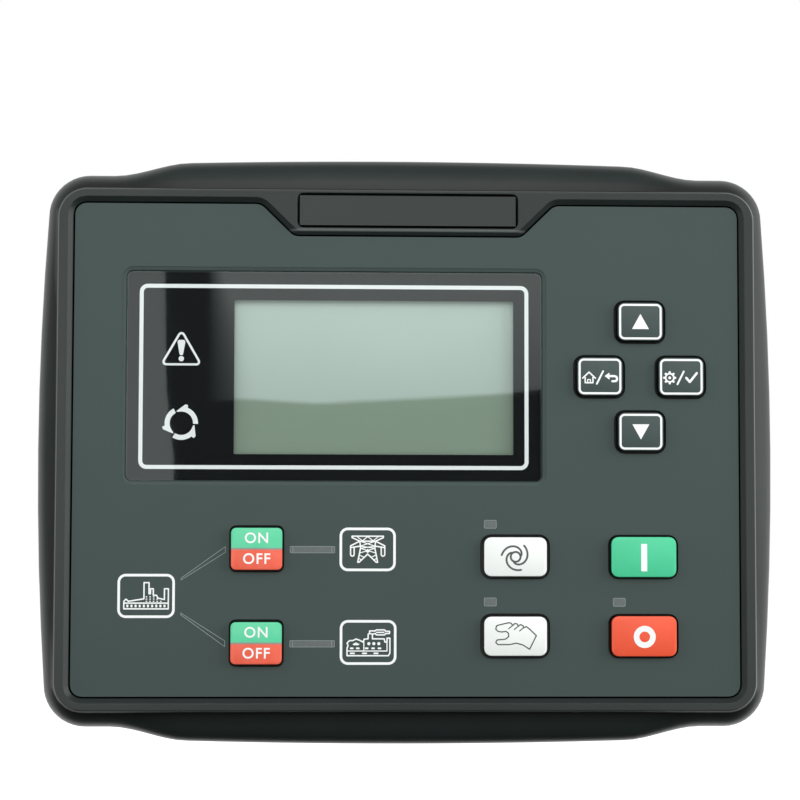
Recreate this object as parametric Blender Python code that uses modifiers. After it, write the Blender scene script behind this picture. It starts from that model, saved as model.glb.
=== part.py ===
"""Genset controller for mounting in a switchboard door.

X runs to the right as seen from the front, the front faces -Y and Z is up.
The origin is the middle of the cut-out, on the plane where the bezel meets the door.
All lengths are in metres.
"""
import math

import bmesh
import bpy
from mathutils import Matrix, Vector

# Fits and facets
FIT_GAP = 0.0003
OVERRUN = 0.0005
WELD = 0.000001
CORNER_STEPS = 4
ROUND_STEPS = 12

# Depth stations, counted from the seat plane
SEAT_Y = 0.0
RIM_Y = -0.0020
RIM_BREAK = 0.0006
CREASE_Y = -0.0086
PANEL_FRONT_Y = -0.0095
FRAME_FRONT_Y = -0.0107
PANEL_THICKNESS = 0.0020
LEDGE_THICKNESS = 0.0020
HOUSING_BACK_Y = 0.0343
BAY_Y = 0.0210
PANEL_BACK_Y = PANEL_FRONT_Y + PANEL_THICKNESS
LEDGE_FRONT_Y = PANEL_BACK_Y + FIT_GAP
LEDGE_BACK_Y = LEDGE_FRONT_Y + LEDGE_THICKNESS

# Cut-out of the door and the housing that passes through it
CUTOUT_WIDTH = 0.1860
CUTOUT_HEIGHT = 0.1410
CUTOUT_PLAY = 0.0010
HOUSING_WIDTH = CUTOUT_WIDTH - 2 * CUTOUT_PLAY
HOUSING_HEIGHT = CUTOUT_HEIGHT - 2 * CUTOUT_PLAY
HOUSING_CORNER = 0.0030
HOUSING_EDGE = 0.0008
HOUSING_WALL = 0.0022

# Front frame of the bezel
FRAME_OVERLAP_X = 0.0065
FRAME_OVERLAP_Z = 0.0039
FRAME_WIDTH = HOUSING_WIDTH + 2 * FRAME_OVERLAP_X
FRAME_HEIGHT = HOUSING_HEIGHT + 2 * FRAME_OVERLAP_Z
FRAME_CORNER = 0.0084
FRAME_FILLET = 0.00035
CREASE_SPREAD = 0.00045
SLOPE_WIDTH = 0.0015
PANEL_GROOVE = 0.0004
SLOPE_DEPTH = 0.0014

# Rim, the widest outline of the bezel
RIM_SPREAD_X = 0.0036
RIM_SPREAD_Z = 0.0048
RIM_CORNER_WIDTH = FRAME_WIDTH + 2 * RIM_SPREAD_X
RIM_FOOT_HEIGHT = FRAME_HEIGHT + 2 * RIM_SPREAD_Z
RIM_BOW = 0.0024
RIM_BULGE = 0.00484
RIM_CORNER = 0.0118
RAMP_OUTER_INSET = 0.0186
RAMP_LENGTH = 0.0220
RAMP_OUTER_X = RIM_CORNER_WIDTH / 2 - RAMP_OUTER_INSET
RAMP_INNER_X = RAMP_OUTER_X - RAMP_LENGTH
ARCH_DROP_SHARE = 0.178
RIM_SHOULDER_SHARE = 0.58
RIM_CORNER_STEPS = 11
ARCH_STEPS = 14
RAMP_STEPS = 7
SIDE_STEPS = 8
WALL_STEPS = 7

# Face panel with the stepped top edge
FRAME_BAR_X = 0.0046
FRAME_BAR_Z = 0.0041
PANEL_WIDTH = FRAME_WIDTH - 2 * FRAME_BAR_X
PANEL_HEIGHT = FRAME_HEIGHT - 2 * FRAME_BAR_Z
PANEL_CORNER = 0.0032
DIP_TOP_WIDTH = 0.0832
DIP_FLOOR_WIDTH = 0.0646
DIP_DEPTH = 0.0091
DIP_ROUND = 0.0036
LEDGE_WIDTH = 0.0030

# Hollow back of the bezel and its seal
CAVITY_PLAY = 0.0016
CAVITY_WIDTH = HOUSING_WIDTH + 2 * CAVITY_PLAY
CAVITY_HEIGHT = HOUSING_HEIGHT + 2 * CAVITY_PLAY
CAVITY_CORNER = 0.0040
GROOVE_WALL = 0.0031
GROOVE_INNER_WIDTH = CAVITY_WIDTH + 2 * GROOVE_WALL
GROOVE_INNER_HEIGHT = CAVITY_HEIGHT + 2 * GROOVE_WALL
GROOVE_CORNER = 0.0070
GROOVE_BREADTH = 0.0026
GROOVE_DEPTH = 0.0016

# Blank plate let into the top of the frame
NAMEPLATE_SIDE_MARGIN = 0.0013
NAMEPLATE_TOP_MARGIN = 0.0012
NAMEPLATE_FOOT_MARGIN = 0.0008
NAMEPLATE_WIDTH = DIP_FLOOR_WIDTH - 2 * NAMEPLATE_SIDE_MARGIN
NAMEPLATE_TOP_Z = FRAME_HEIGHT / 2 - NAMEPLATE_TOP_MARGIN
NAMEPLATE_FOOT_Z = (PANEL_HEIGHT / 2 - DIP_DEPTH + PANEL_GROOVE + SLOPE_WIDTH
                    + NAMEPLATE_FOOT_MARGIN)
NAMEPLATE_HEIGHT = NAMEPLATE_TOP_Z - NAMEPLATE_FOOT_Z
NAMEPLATE_CENTRE_Z = (NAMEPLATE_TOP_Z + NAMEPLATE_FOOT_Z) / 2
NAMEPLATE_CORNER = 0.0014
NAMEPLATE_THICKNESS = 0.0009
NAMEPLATE_SINK = 0.0001

# Push keys, set out from the panel's edges
KEY_TRAVEL = 0.0010
KEY_PROUD = 0.0020
KEY_EDGE = 0.0004
FLANGE_THICKNESS = 0.0012
FLANGE_OVERLAP = 0.0008
STEM_WIDTH = 0.0044
STEM_CORNER = 0.0012
KEY_CORNER = 0.0020
BREAKER_CORNER = 0.0014
NAV_HOLE_WIDTH = 0.0148
NAV_HOLE_HEIGHT = 0.0124
NAV_GAP_X = 0.00095
NAV_GAP_Z = 0.00075
NAV_SPACE_X = 0.0083
NAV_SPACE_Z = 0.0032
NAV_INSET_X = 0.0280
NAV_INSET_Z = 0.0486
NAV_KEY_WIDTH = NAV_HOLE_WIDTH - 2 * NAV_GAP_X
NAV_KEY_HEIGHT = NAV_HOLE_HEIGHT - 2 * NAV_GAP_Z
NAV_CENTRE_X = PANEL_WIDTH / 2 - NAV_INSET_X
NAV_CENTRE_Z = PANEL_HEIGHT / 2 - NAV_INSET_Z
NAV_STEP_X = (NAV_HOLE_WIDTH + NAV_SPACE_X) / 2
NAV_STEP_Z = NAV_HOLE_HEIGHT + NAV_SPACE_Z
MODE_HOLE_WIDTH = 0.0197
MODE_HOLE_HEIGHT = 0.0126
MODE_GAP_X = 0.0010
MODE_GAP_Z = 0.0008
MODE_INSET_X = 0.0635
MODE_KEY_WIDTH = MODE_HOLE_WIDTH - 2 * MODE_GAP_X
MODE_KEY_HEIGHT = MODE_HOLE_HEIGHT - 2 * MODE_GAP_Z
MODE_X = PANEL_WIDTH / 2 - MODE_INSET_X
RUN_HOLE_WIDTH = 0.0199
RUN_HOLE_HEIGHT = 0.0125
RUN_GAP_X = 0.00075
RUN_GAP_Z = 0.0006
RUN_INSET_X = 0.0273
RUN_KEY_WIDTH = RUN_HOLE_WIDTH - 2 * RUN_GAP_X
RUN_KEY_HEIGHT = RUN_HOLE_HEIGHT - 2 * RUN_GAP_Z
RUN_X = PANEL_WIDTH / 2 - RUN_INSET_X
LOWER_ROW_INSET = 0.0169
ROW_STEP = 0.0222
LOWER_ROW_Z = LOWER_ROW_INSET - PANEL_HEIGHT / 2
UPPER_ROW_Z = LOWER_ROW_Z + ROW_STEP
BREAKER_HOLE_WIDTH = 0.0154
BREAKER_HOLE_HEIGHT = 0.0132
BREAKER_GAP_X = 0.0005
BREAKER_GAP_Z = 0.0007
BREAKER_INSET_X = 0.0517
GENSET_ROW_INSET = 0.0149
BREAKER_STEP = 0.0263
BREAKER_KEY_WIDTH = BREAKER_HOLE_WIDTH - 2 * BREAKER_GAP_X
BREAKER_KEY_HEIGHT = BREAKER_HOLE_HEIGHT - 2 * BREAKER_GAP_Z
BREAKER_X = BREAKER_INSET_X - PANEL_WIDTH / 2
GENSET_ROW_Z = GENSET_ROW_INSET - PANEL_HEIGHT / 2
MAINS_ROW_Z = GENSET_ROW_Z + BREAKER_STEP

# Display, between the panel's left edge and the navigation keys
LENS_INSET_X = 0.0148
LENS_MIDDLE_INSET_Z = 0.04875
LENS_KEY_SPACE = 0.00815
LENS_HEIGHT = 0.0591
LENS_LEFT_X = LENS_INSET_X - PANEL_WIDTH / 2
LENS_RIGHT_X = NAV_CENTRE_X - NAV_STEP_X - NAV_HOLE_WIDTH / 2 - FLANGE_OVERLAP - LENS_KEY_SPACE
LENS_WIDTH = LENS_RIGHT_X - LENS_LEFT_X
LENS_CENTRE_X = (LENS_LEFT_X + LENS_RIGHT_X) / 2
LENS_CENTRE_Z = PANEL_HEIGHT / 2 - LENS_MIDDLE_INSET_Z
LENS_CORNER = 0.0017
LENS_THICKNESS = 0.0010
LENS_SINK = 0.0003
LENS_LEDGE = 0.0016
WINDOW_CHAMFER = 0.0010
WINDOW_CHAMFER_DEPTH = 0.0004
SHEET = 0.0006
SIGN_COLUMN = 0.0261
CELL_INSET_X = 0.0040
CELL_INSET_Z = 0.0038
CELL_DROP = 0.00025
CELL_BORDER = 0.0030
CELL_WIDTH = LENS_WIDTH - SIGN_COLUMN - CELL_INSET_X
CELL_HEIGHT = LENS_HEIGHT - 2 * CELL_INSET_Z
CELL_CENTRE_X = LENS_RIGHT_X - CELL_INSET_X - CELL_WIDTH / 2
CELL_CENTRE_Z = LENS_CENTRE_Z - CELL_DROP
CELL_VIEW_WIDTH = CELL_WIDTH - 2 * CELL_BORDER
CELL_VIEW_HEIGHT = CELL_HEIGHT - 2 * CELL_BORDER
CELL_THICKNESS = 0.0018
LIGHT_GUIDE_PLAY = 0.0002

# Lamps and light bars, set out from the keys that they serve
LAMP_WIDTH = 0.0034
LAMP_HEIGHT = 0.00225
LAMP_CORNER = 0.0003
LAMP_SINK = 0.0001
MODE_LAMP_SHIFT = 0.0070
RUN_LAMP_SHIFT = 0.0068
AUTO_LAMP_RISE = 0.0009
LOWER_LAMP_RISE = 0.0013
LAMP_STAND = LAMP_HEIGHT / 2 + FLANGE_OVERLAP
AUTO_LAMP_X = MODE_X - MODE_LAMP_SHIFT
AUTO_LAMP_Z = UPPER_ROW_Z + MODE_HOLE_HEIGHT / 2 + LAMP_STAND + AUTO_LAMP_RISE
MANUAL_LAMP_Z = LOWER_ROW_Z + MODE_HOLE_HEIGHT / 2 + LAMP_STAND + LOWER_LAMP_RISE
STOP_LAMP_X = RUN_X - RUN_LAMP_SHIFT
STOP_LAMP_Z = LOWER_ROW_Z + RUN_HOLE_HEIGHT / 2 + LAMP_STAND + LOWER_LAMP_RISE
BAR_WIDTH = 0.0125
BAR_HEIGHT = 0.0018
BAR_KEY_SPACE = 0.00085
BAR_DROP = 0.0002
BREAKER_REACH = BREAKER_HOLE_WIDTH / 2 + FLANGE_OVERLAP
BAR_X = BREAKER_X + BREAKER_REACH + BAR_KEY_SPACE + BAR_WIDTH / 2
MAINS_BAR_Z = MAINS_ROW_Z - BAR_DROP
GENSET_BAR_Z = GENSET_ROW_Z - BAR_DROP
WEDGE_LENGTH = 0.0123
WEDGE_FALL = 0.0083
WEDGE_POINT_HEIGHT = 0.0005
WEDGE_END_HEIGHT = 0.0016
WEDGE_END_X = BREAKER_X - BREAKER_REACH - FIT_GAP
WEDGE_POINT_X = WEDGE_END_X - WEDGE_LENGTH
WEDGE_POINT_Z = MAINS_BAR_Z - WEDGE_FALL
LOWER_WEDGE_POINT_Z = GENSET_BAR_Z + WEDGE_FALL
SIGN_INSET = 0.0153
SIGN_SPACE = 0.0043
SIGN_X = LENS_LEFT_X + SIGN_INSET
ALARM_WIDTH = 2 * (SIGN_COLUMN - SIGN_INSET - SIGN_SPACE)
ALARM_HEIGHT = 0.0110
ALARM_DROP = 0.0221
ALARM_Z = LENS_CENTRE_Z + LENS_HEIGHT / 2 - ALARM_DROP
STATUS_TRIM = 0.0012
STATUS_DROP = 0.0429
STATUS_DIAMETER = ALARM_WIDTH - 2 * STATUS_TRIM
STATUS_Z = LENS_CENTRE_Z + LENS_HEIGHT / 2 - STATUS_DROP

# Screw bosses and the screws in them
BOSS_DIAMETER = 0.0064
BOSS_WALL_PLAY = 0.0006
BOSS_INSET_Z = 0.0110
BOSS_X = HOUSING_WIDTH / 2 - HOUSING_WALL - BOSS_WALL_PLAY - BOSS_DIAMETER / 2
BOSS_Z = HOUSING_HEIGHT / 2 - BOSS_INSET_Z
BOSS_PAD_EDGE = 0.0013
BOSS_PAD_ROOT = 0.0011
SCREW_DIAMETER = 0.0024
SCREW_HEAD_DIAMETER = 0.0052
SCREW_HEAD_HEIGHT = 0.0020
SCREW_LENGTH = 0.0200

# Boards and what they carry
BOARD_PLAY = 0.0005
BOARD_WIDTH = 2 * (BOSS_X - BOSS_DIAMETER / 2 - BOARD_PLAY)
BOARD_HEIGHT = HOUSING_HEIGHT - 2 * (HOUSING_WALL + BOARD_PLAY)
BOARD_THICKNESS = 0.0016
BOARD_CORNER = 0.0015
MAIN_BOARD_Y = -0.0010
TERMINAL_BOARD_Y = 0.0149
SWITCH_WIDTH = 0.0060
SWITCH_HEIGHT = 0.0016
CARRIER_THICKNESS = 0.0012
CARRIER_BORDER = 0.0027
CARRIER_LENS_SPACE = 0.0020
CARRIER_FOOT = 0.0018
CARRIER_LEFT_X = WEDGE_POINT_X - CARRIER_BORDER
CARRIER_RIGHT_X = BOARD_WIDTH / 2 - FIT_GAP
CARRIER_STEP_X = LENS_RIGHT_X + CARRIER_LENS_SPACE
CARRIER_BOTTOM_Z = CARRIER_FOOT - BOARD_HEIGHT / 2
CARRIER_STEP_Z = LENS_CENTRE_Z - LENS_HEIGHT / 2 - CARRIER_LENS_SPACE
CARRIER_TOP_Z = NAV_CENTRE_Z + NAV_STEP_Z + NAV_HOLE_HEIGHT / 2 + FLANGE_OVERLAP + CARRIER_BORDER
CARRIER_CORNER = 0.0020
CARRIER_POST_DIAMETER = 0.0040
CARRIER_POST_INSET = 0.0030
SPACER_DIAMETER = 0.0060
SPACER_INSET = 0.0053
SPACER_X = BOARD_WIDTH / 2 - SPACER_INSET
SPACER_Z = 0.0200
LINK_WIDTH = 0.0400
LINK_HEIGHT = 0.0050
LINK_Z = 0.0300

# Terminals, in the two bays behind the housing's shoulders
PLUG_COUNT = 3
PLUG_SPACE = 0.0042
PLUG_BOSS_SPACE = 0.0030
PLUG_HEIGHT = 0.0120
PLUG_REAR_SPACE = 0.0050
PLUG_EDGE_SPACE = 0.0055
PLUG_ROW = 2 * (BOSS_X - SCREW_HEAD_DIAMETER / 2 - PLUG_BOSS_SPACE)
PLUG_PITCH = (PLUG_ROW + PLUG_SPACE) / PLUG_COUNT
PLUG_WIDTH = PLUG_PITCH - PLUG_SPACE
PLUG_Z = HOUSING_HEIGHT / 2 - PLUG_EDGE_SPACE - PLUG_HEIGHT / 2
PLUG_BACK_Y = 0.0325
PLUG_STEP_HEIGHT = 0.0045
PLUG_STEP_DEPTH = 0.0035
POLE_PITCH = 0.0050
POLE_SLACK = 0.0012
POLE_COUNT = int((PLUG_WIDTH + POLE_SLACK) / POLE_PITCH)
WIRE_HOLE = 0.0028
WIRE_HOLE_DEPTH = 0.0060
WIRE_HOLE_DROP = 0.0016

# Rear block of the housing and its vents
REAR_SHOULDER = 0.0010
REAR_WIDTH = HOUSING_WIDTH - 2 * REAR_SHOULDER
REAR_HEIGHT = 2 * (PLUG_Z - PLUG_HEIGHT / 2 - PLUG_REAR_SPACE)
REAR_ROOT = 0.0015
VENT_COUNT = 12
VENT_PITCH = 0.0100
VENT_WIDTH = 0.0030
VENT_LENGTH = 0.0110
VENT_Y = 0.0110
REAR_VENT_COUNT = 9
REAR_VENT_HEIGHT = 0.0220

# Service socket
USB_WIDTH = 0.0120
USB_HEIGHT = 0.0110
USB_X = 0.0600
USB_Z = -0.0200
USB_WALL = 0.0012
USB_DEPTH = 0.0120
USB_TONGUE_WIDTH = 0.0056
USB_TONGUE_HEIGHT = 0.0028
USB_TONGUE_SET_BACK = 0.0020

# Fixing clips at the sides
CLIP_Z = 0.0340
CLIP_HEIGHT = 0.0100
CLIP_ARM = 0.0022
CLIP_FRONT_Y = 0.0120
CLIP_BACK_Y = 0.0280
LUG_FRONT_Y = 0.0220
LUG_REACH = 0.0112
HOOK_FRONT_Y = 0.0150
HOOK_BACK_Y = 0.0174
CLIP_SCREW_DIAMETER = 0.0040
CLIP_SCREW_HEAD_DIAMETER = 0.0072
CLIP_SCREW_HEAD_HEIGHT = 0.0032
CLIP_SCREW_TIP_Y = 0.0056
CLIP_SCREW_BACK_Y = 0.0340

# Middle lines shared by several pieces
LENS_BACK_Y = PANEL_FRONT_Y + LENS_SINK + LENS_THICKNESS
FLANGE_FRONT_Y = PANEL_BACK_Y + FIT_GAP
FLANGE_BACK_Y = FLANGE_FRONT_Y + FLANGE_THICKNESS
CARRIER_FRONT_Y = FLANGE_BACK_Y + KEY_TRAVEL + FIT_GAP
CARRIER_BACK_Y = CARRIER_FRONT_Y + CARRIER_THICKNESS
SWITCH_TOP_Y = MAIN_BOARD_Y - SWITCH_HEIGHT
STEM_END_Y = SWITCH_TOP_Y - KEY_TRAVEL - FIT_GAP
ON_BOARD_Y = MAIN_BOARD_Y - FIT_GAP
LCD_FRAME_FRONT_Y = PANEL_BACK_Y + FIT_GAP
CELL_FRONT_Y = LCD_FRAME_FRONT_Y + SHEET + FIT_GAP
CELL_BACK_Y = CELL_FRONT_Y + CELL_THICKNESS
BAY_FLOOR_Y = BAY_Y - HOUSING_WALL
BORE_DIAMETER = SCREW_DIAMETER + 2 * FIT_GAP

NAV_KEYS = {
    "key_up": (NAV_CENTRE_X, NAV_CENTRE_Z + NAV_STEP_Z),
    "key_down": (NAV_CENTRE_X, NAV_CENTRE_Z - NAV_STEP_Z),
    "key_home": (NAV_CENTRE_X - NAV_STEP_X, NAV_CENTRE_Z),
    "key_confirm": (NAV_CENTRE_X + NAV_STEP_X, NAV_CENTRE_Z),
}
MODE_KEYS = {"key_auto": (MODE_X, UPPER_ROW_Z), "key_manual": (MODE_X, LOWER_ROW_Z)}
RUN_KEYS = {"key_start": (RUN_X, UPPER_ROW_Z), "key_stop": (RUN_X, LOWER_ROW_Z)}
BREAKER_KEYS = {
    "key_mains_breaker": (BREAKER_X, MAINS_ROW_Z),
    "key_genset_breaker": (BREAKER_X, GENSET_ROW_Z),
}
LAMPS = {
    "auto_lamp": (AUTO_LAMP_X, AUTO_LAMP_Z),
    "manual_lamp": (AUTO_LAMP_X, MANUAL_LAMP_Z),
    "stop_lamp": (STOP_LAMP_X, STOP_LAMP_Z),
}
BARS = {"mains_line_lamp": (BAR_X, MAINS_BAR_Z), "genset_line_lamp": (BAR_X, GENSET_BAR_Z)}


def clear_scene():
    """Remove every object that the file starts with."""
    for item in list(bpy.data.objects):
        bpy.data.objects.remove(item, do_unlink=True)


def new_collection(name):
    """Make a collection under the scene."""
    group = bpy.data.collections.new(name)
    bpy.context.scene.collection.children.link(group)
    return group


clear_scene()
MODEL = new_collection("genset_controller")
TOOLS = new_collection("cutters")


def material(name, colour, roughness, metallic=0.0, alpha=1.0):
    """Make one Principled material."""
    made = bpy.data.materials.new(name)
    made.use_nodes = True
    shader = made.node_tree.nodes["Principled BSDF"]
    shader.inputs["Base Color"].default_value = (*colour, 1.0)
    shader.inputs["Roughness"].default_value = roughness
    shader.inputs["Metallic"].default_value = metallic
    shader.inputs["Alpha"].default_value = alpha
    return made


def add_object(name, mesh, look=None):
    """Put a mesh in the model, or among the cutters when it has no look."""
    item = bpy.data.objects.new(name, mesh)
    if look is None:
        TOOLS.objects.link(item)
        item.hide_render = True
        item.display_type = "WIRE"
    else:
        MODEL.objects.link(item)
        mesh.materials.append(look)
    return item


def mesh_from(name, bm):
    """Turn a bmesh into mesh data and free it."""
    mesh = bpy.data.meshes.new(name)
    bm.to_mesh(mesh)
    bm.free()
    return mesh


def rectangle(width, height, radius, centre=(0.0, 0.0)):
    """Return the four rounded corners of an upright rectangle, anticlockwise from the front."""
    x, z = centre
    right, top = width / 2, height / 2
    return [
        (x - right, z - top, radius),
        (x + right, z - top, radius),
        (x + right, z + top, radius),
        (x - right, z + top, radius),
    ]


def grown(corners, distance):
    """Move every side of an outline outwards, and keep its corner arcs concentric."""
    count = len(corners)
    result = []
    for index, (x, z, radius) in enumerate(corners):
        here = Vector((x, z))
        before = (here - Vector(corners[index - 1][:2])).normalized()
        after = (Vector(corners[(index + 1) % count][:2]) - here).normalized()
        normal_before = Vector((before.y, -before.x))
        normal_after = Vector((after.y, -after.x))
        mitre = (normal_before + normal_after) / (1 + normal_before.dot(normal_after))
        place = here + mitre * distance
        turn = before.x * after.y - before.y * after.x
        bend = radius + distance if turn > 0 else radius - distance
        result.append((place.x, place.y, bend))
    return result


def arc_points(corners, steps=CORNER_STEPS):
    """Replace each corner of an outline by points along its arc."""
    count = len(corners)
    points = []
    for index, (x, z, radius) in enumerate(corners):
        here = Vector((x, z))
        before = (Vector(corners[index - 1][:2]) - here).normalized()
        after = (Vector(corners[(index + 1) % count][:2]) - here).normalized()
        half = before.angle(after) / 2
        centre = here + (before + after).normalized() * radius / math.sin(half)
        start = here + before * radius / math.tan(half) - centre
        sweep = start.angle_signed(here + after * radius / math.tan(half) - centre)
        for step in range(steps + 1):
            turn = Matrix.Rotation(-sweep * step / steps, 2)
            points.append(centre + turn @ start)
    return points


def prism(name, outlines, front, back, look=None, upright=True):
    """Make a flat solid from an outline and its holes; upright ones run along Y, others along Z."""
    curve = bpy.data.curves.new(name, "CURVE")
    curve.dimensions = "2D"
    curve.fill_mode = "BOTH"
    curve.extrude = (back - front) / 2
    for points in outlines:
        spline = curve.splines.new("POLY")
        spline.points.add(len(points) - 1)
        for slot, point in zip(spline.points, points):
            slot.co = (point[0], point[1], 0.0, 1.0)
        spline.use_cyclic_u = True
    item = bpy.data.objects.new(name, curve)
    TOOLS.objects.link(item)
    middle = (front + back) / 2
    if upright:
        item.rotation_euler.x = math.pi / 2
        item.location.y = middle
    else:
        item.location.z = middle
    return solid_from_curve(item, look)


def solid_from_curve(item, look):
    """Replace a filled curve object by a welded mesh object in the same place."""
    bpy.context.view_layer.update()
    evaluated = item.evaluated_get(bpy.context.evaluated_depsgraph_get())
    mesh = bpy.data.meshes.new_from_object(evaluated)
    bm = bmesh.new()
    bm.from_mesh(mesh)
    bmesh.ops.remove_doubles(bm, verts=bm.verts, dist=WELD)
    caps = [face for face in bm.faces if len(face.verts) == 3]
    bmesh.ops.beautify_fill(bm, faces=caps, edges=bm.edges, method="AREA")
    bmesh.ops.recalc_face_normals(bm, faces=bm.faces)
    bm.to_mesh(mesh)
    bm.free()
    name = item.name
    place = item.matrix_world.copy()
    bpy.data.objects.remove(item, do_unlink=True)
    made = add_object(name, mesh, look)
    made.matrix_world = place
    return made


def loft(name, rings, look=None):
    """Skin a row of closed rings with equal point counts and close both ends."""
    bm = bmesh.new()
    loops = [[bm.verts.new(point) for point in ring] for ring in rings]
    count = len(rings[0])
    for near, far in zip(loops, loops[1:]):
        for index in range(count):
            after = (index + 1) % count
            bm.faces.new((near[index], near[after], far[after], far[index]))
    bm.faces.new(loops[0])
    bm.faces.new(loops[-1])
    bmesh.ops.recalc_face_normals(bm, faces=bm.faces)
    return add_object(name, mesh_from(name, bm), look)


def ring_at(points, y):
    """Stand a flat outline upright at one depth."""
    return [Vector((point[0], y, point[1])) for point in points]


def box(name, size, centre, look=None, corner=0.0, edge=0.0):
    """Make a box whose edges along Y have a corner radius and whose front edges are eased."""
    bm = bmesh.new()
    bmesh.ops.create_cube(bm, size=1.0, matrix=Matrix.Diagonal((*size, 1.0)))
    if corner:
        along = [e for e in bm.edges if abs((e.verts[0].co - e.verts[1].co).y) > size[1] / 2]
        bmesh.ops.bevel(bm, geom=along, offset=corner, segments=CORNER_STEPS,
                        profile=0.5, affect="EDGES")
    if edge:
        bm.normal_update()
        fronts = [face for face in bm.faces if face.normal.y < -math.cos(math.radians(1.0))]
        rims = [e for face in fronts for e in face.edges]
        bmesh.ops.bevel(bm, geom=rims, offset=edge, segments=2, profile=0.5, affect="EDGES")
    item = add_object(name, mesh_from(name, bm), look)
    item.location = centre
    return item


def span_box(name, width, height, centre, front, back, look=None, corner=0.0, edge=0.0):
    """Make a box from its face size, the middle of its face, and its front and back depth."""
    size = (width, back - front, height)
    middle = (centre[0], (front + back) / 2, centre[1])
    return box(name, size, middle, look, corner, edge)


def rod(name, diameter, centre, front, back, look=None, segments=ROUND_STEPS):
    """Make a round bar along Y."""
    bm = bmesh.new()
    bmesh.ops.create_cone(bm, cap_ends=True, segments=segments, radius1=diameter / 2,
                          radius2=diameter / 2, depth=back - front,
                          matrix=Matrix.Rotation(math.pi / 2, 4, "X"))
    item = add_object(name, mesh_from(name, bm), look)
    item.location = (centre[0], (front + back) / 2, centre[1])
    return item


def turned(name, profile, centre, front, look):
    """Turn a profile of (radius, height) points about Y, its top end facing the back."""
    bm = bmesh.new()
    chain = [bm.verts.new((radius, 0.0, height)) for radius, height in profile]
    for upper, lower in zip(chain, chain[1:]):
        bm.edges.new((upper, lower))
    item = add_object(name, mesh_from(name, bm), look)
    item.rotation_euler.x = -math.pi / 2
    item.location = (centre[0], front, centre[1])
    spin = item.modifiers.new("turn", "SCREW")
    spin.axis = "Z"
    spin.angle = 2 * math.pi
    spin.steps = ROUND_STEPS
    spin.render_steps = ROUND_STEPS
    spin.use_merge_vertices = True
    spin.merge_threshold = WELD
    return item


def combine(item, other, operation):
    """Add one Boolean step to an object."""
    step = item.modifiers.new(other.name, "BOOLEAN")
    step.operation = operation
    step.solver = "EXACT"
    step.object = other
    return item


def cut(item, *cutters):
    """Take the cutters out of an object."""
    for cutter in cutters:
        combine(item, cutter, "DIFFERENCE")
    return item


def fuse(item, *additions):
    """Add more material to an object."""
    for addition in additions:
        combine(item, addition, "UNION")
    return item


# Plastics, rubber, glass and metal
CHARCOAL = material("charcoal_plastic", (0.042, 0.045, 0.044), 0.42)
PANEL_GREY = material("panel_grey_green", (0.072, 0.102, 0.092), 0.55)
HOUSING_BLACK = material("housing_black", (0.018, 0.019, 0.020), 0.55)
KEY_DARK = material("key_dark", (0.075, 0.100, 0.092), 0.50)
KEY_WHITE = material("key_white", (0.850, 0.860, 0.850), 0.40)
KEY_GREEN = material("key_green", (0.090, 0.640, 0.350), 0.40)
KEY_RED = material("key_red", (0.910, 0.120, 0.050), 0.40)
LENS_CLEAR = material("clear_lens", (0.030, 0.034, 0.036), 0.08, alpha=0.35)
LAMP_CLEAR = material("lamp_clear", (0.780, 0.780, 0.760), 0.30)
LCD_GREY = material("lcd_grey", (0.400, 0.500, 0.450), 0.25)
GUIDE_WHITE = material("light_guide", (0.800, 0.820, 0.780), 0.45)
SHEET_METAL = material("sheet_metal", (0.620, 0.630, 0.640), 0.30, 1.0)
BOARD_GREEN = material("board_green", (0.020, 0.130, 0.060), 0.45)
RUBBER_BLACK = material("rubber_black", (0.012, 0.012, 0.012), 0.85)
PLUG_GREEN = material("plug_green", (0.045, 0.300, 0.120), 0.45)
STEEL = material("zinc_steel", (0.560, 0.570, 0.590), 0.35, 1.0)


def panel_corners():
    """Return the face panel's outline with its stepped top edge."""
    right = PANEL_WIDTH / 2
    top = PANEL_HEIGHT / 2
    rim = DIP_TOP_WIDTH / 2
    floor = DIP_FLOOR_WIDTH / 2
    return [
        (-right, -top, PANEL_CORNER),
        (right, -top, PANEL_CORNER),
        (right, top, PANEL_CORNER),
        (rim, top, DIP_ROUND),
        (floor, top - DIP_DEPTH, DIP_ROUND),
        (-floor, top - DIP_DEPTH, DIP_ROUND),
        (-rim, top, DIP_ROUND),
        (-right, top, PANEL_CORNER),
    ]


def bulge_share(x):
    """Return how much of the bulge's height stands at one place along the top edge."""
    reach = (RAMP_OUTER_X - abs(x)) / (RAMP_OUTER_X - RAMP_INNER_X)
    reach = min(max(reach, 0.0), 1.0)
    ramp = reach * reach * (3 - 2 * reach)
    arch = 1 - ARCH_DROP_SHARE * min(abs(x) / RAMP_INNER_X, 1.0) ** 2
    return ramp * arch


def edge_stations():
    """Return the places along the top edge, close together on the two ramps."""
    ramp = [RAMP_OUTER_X + (RAMP_INNER_X - RAMP_OUTER_X) * i / RAMP_STEPS for i in range(RAMP_STEPS)]
    arch = [RAMP_INNER_X * (1 - 2 * i / ARCH_STEPS) for i in range(ARCH_STEPS + 1)]
    return ramp + arch + [-x for x in reversed(ramp)]


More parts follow.
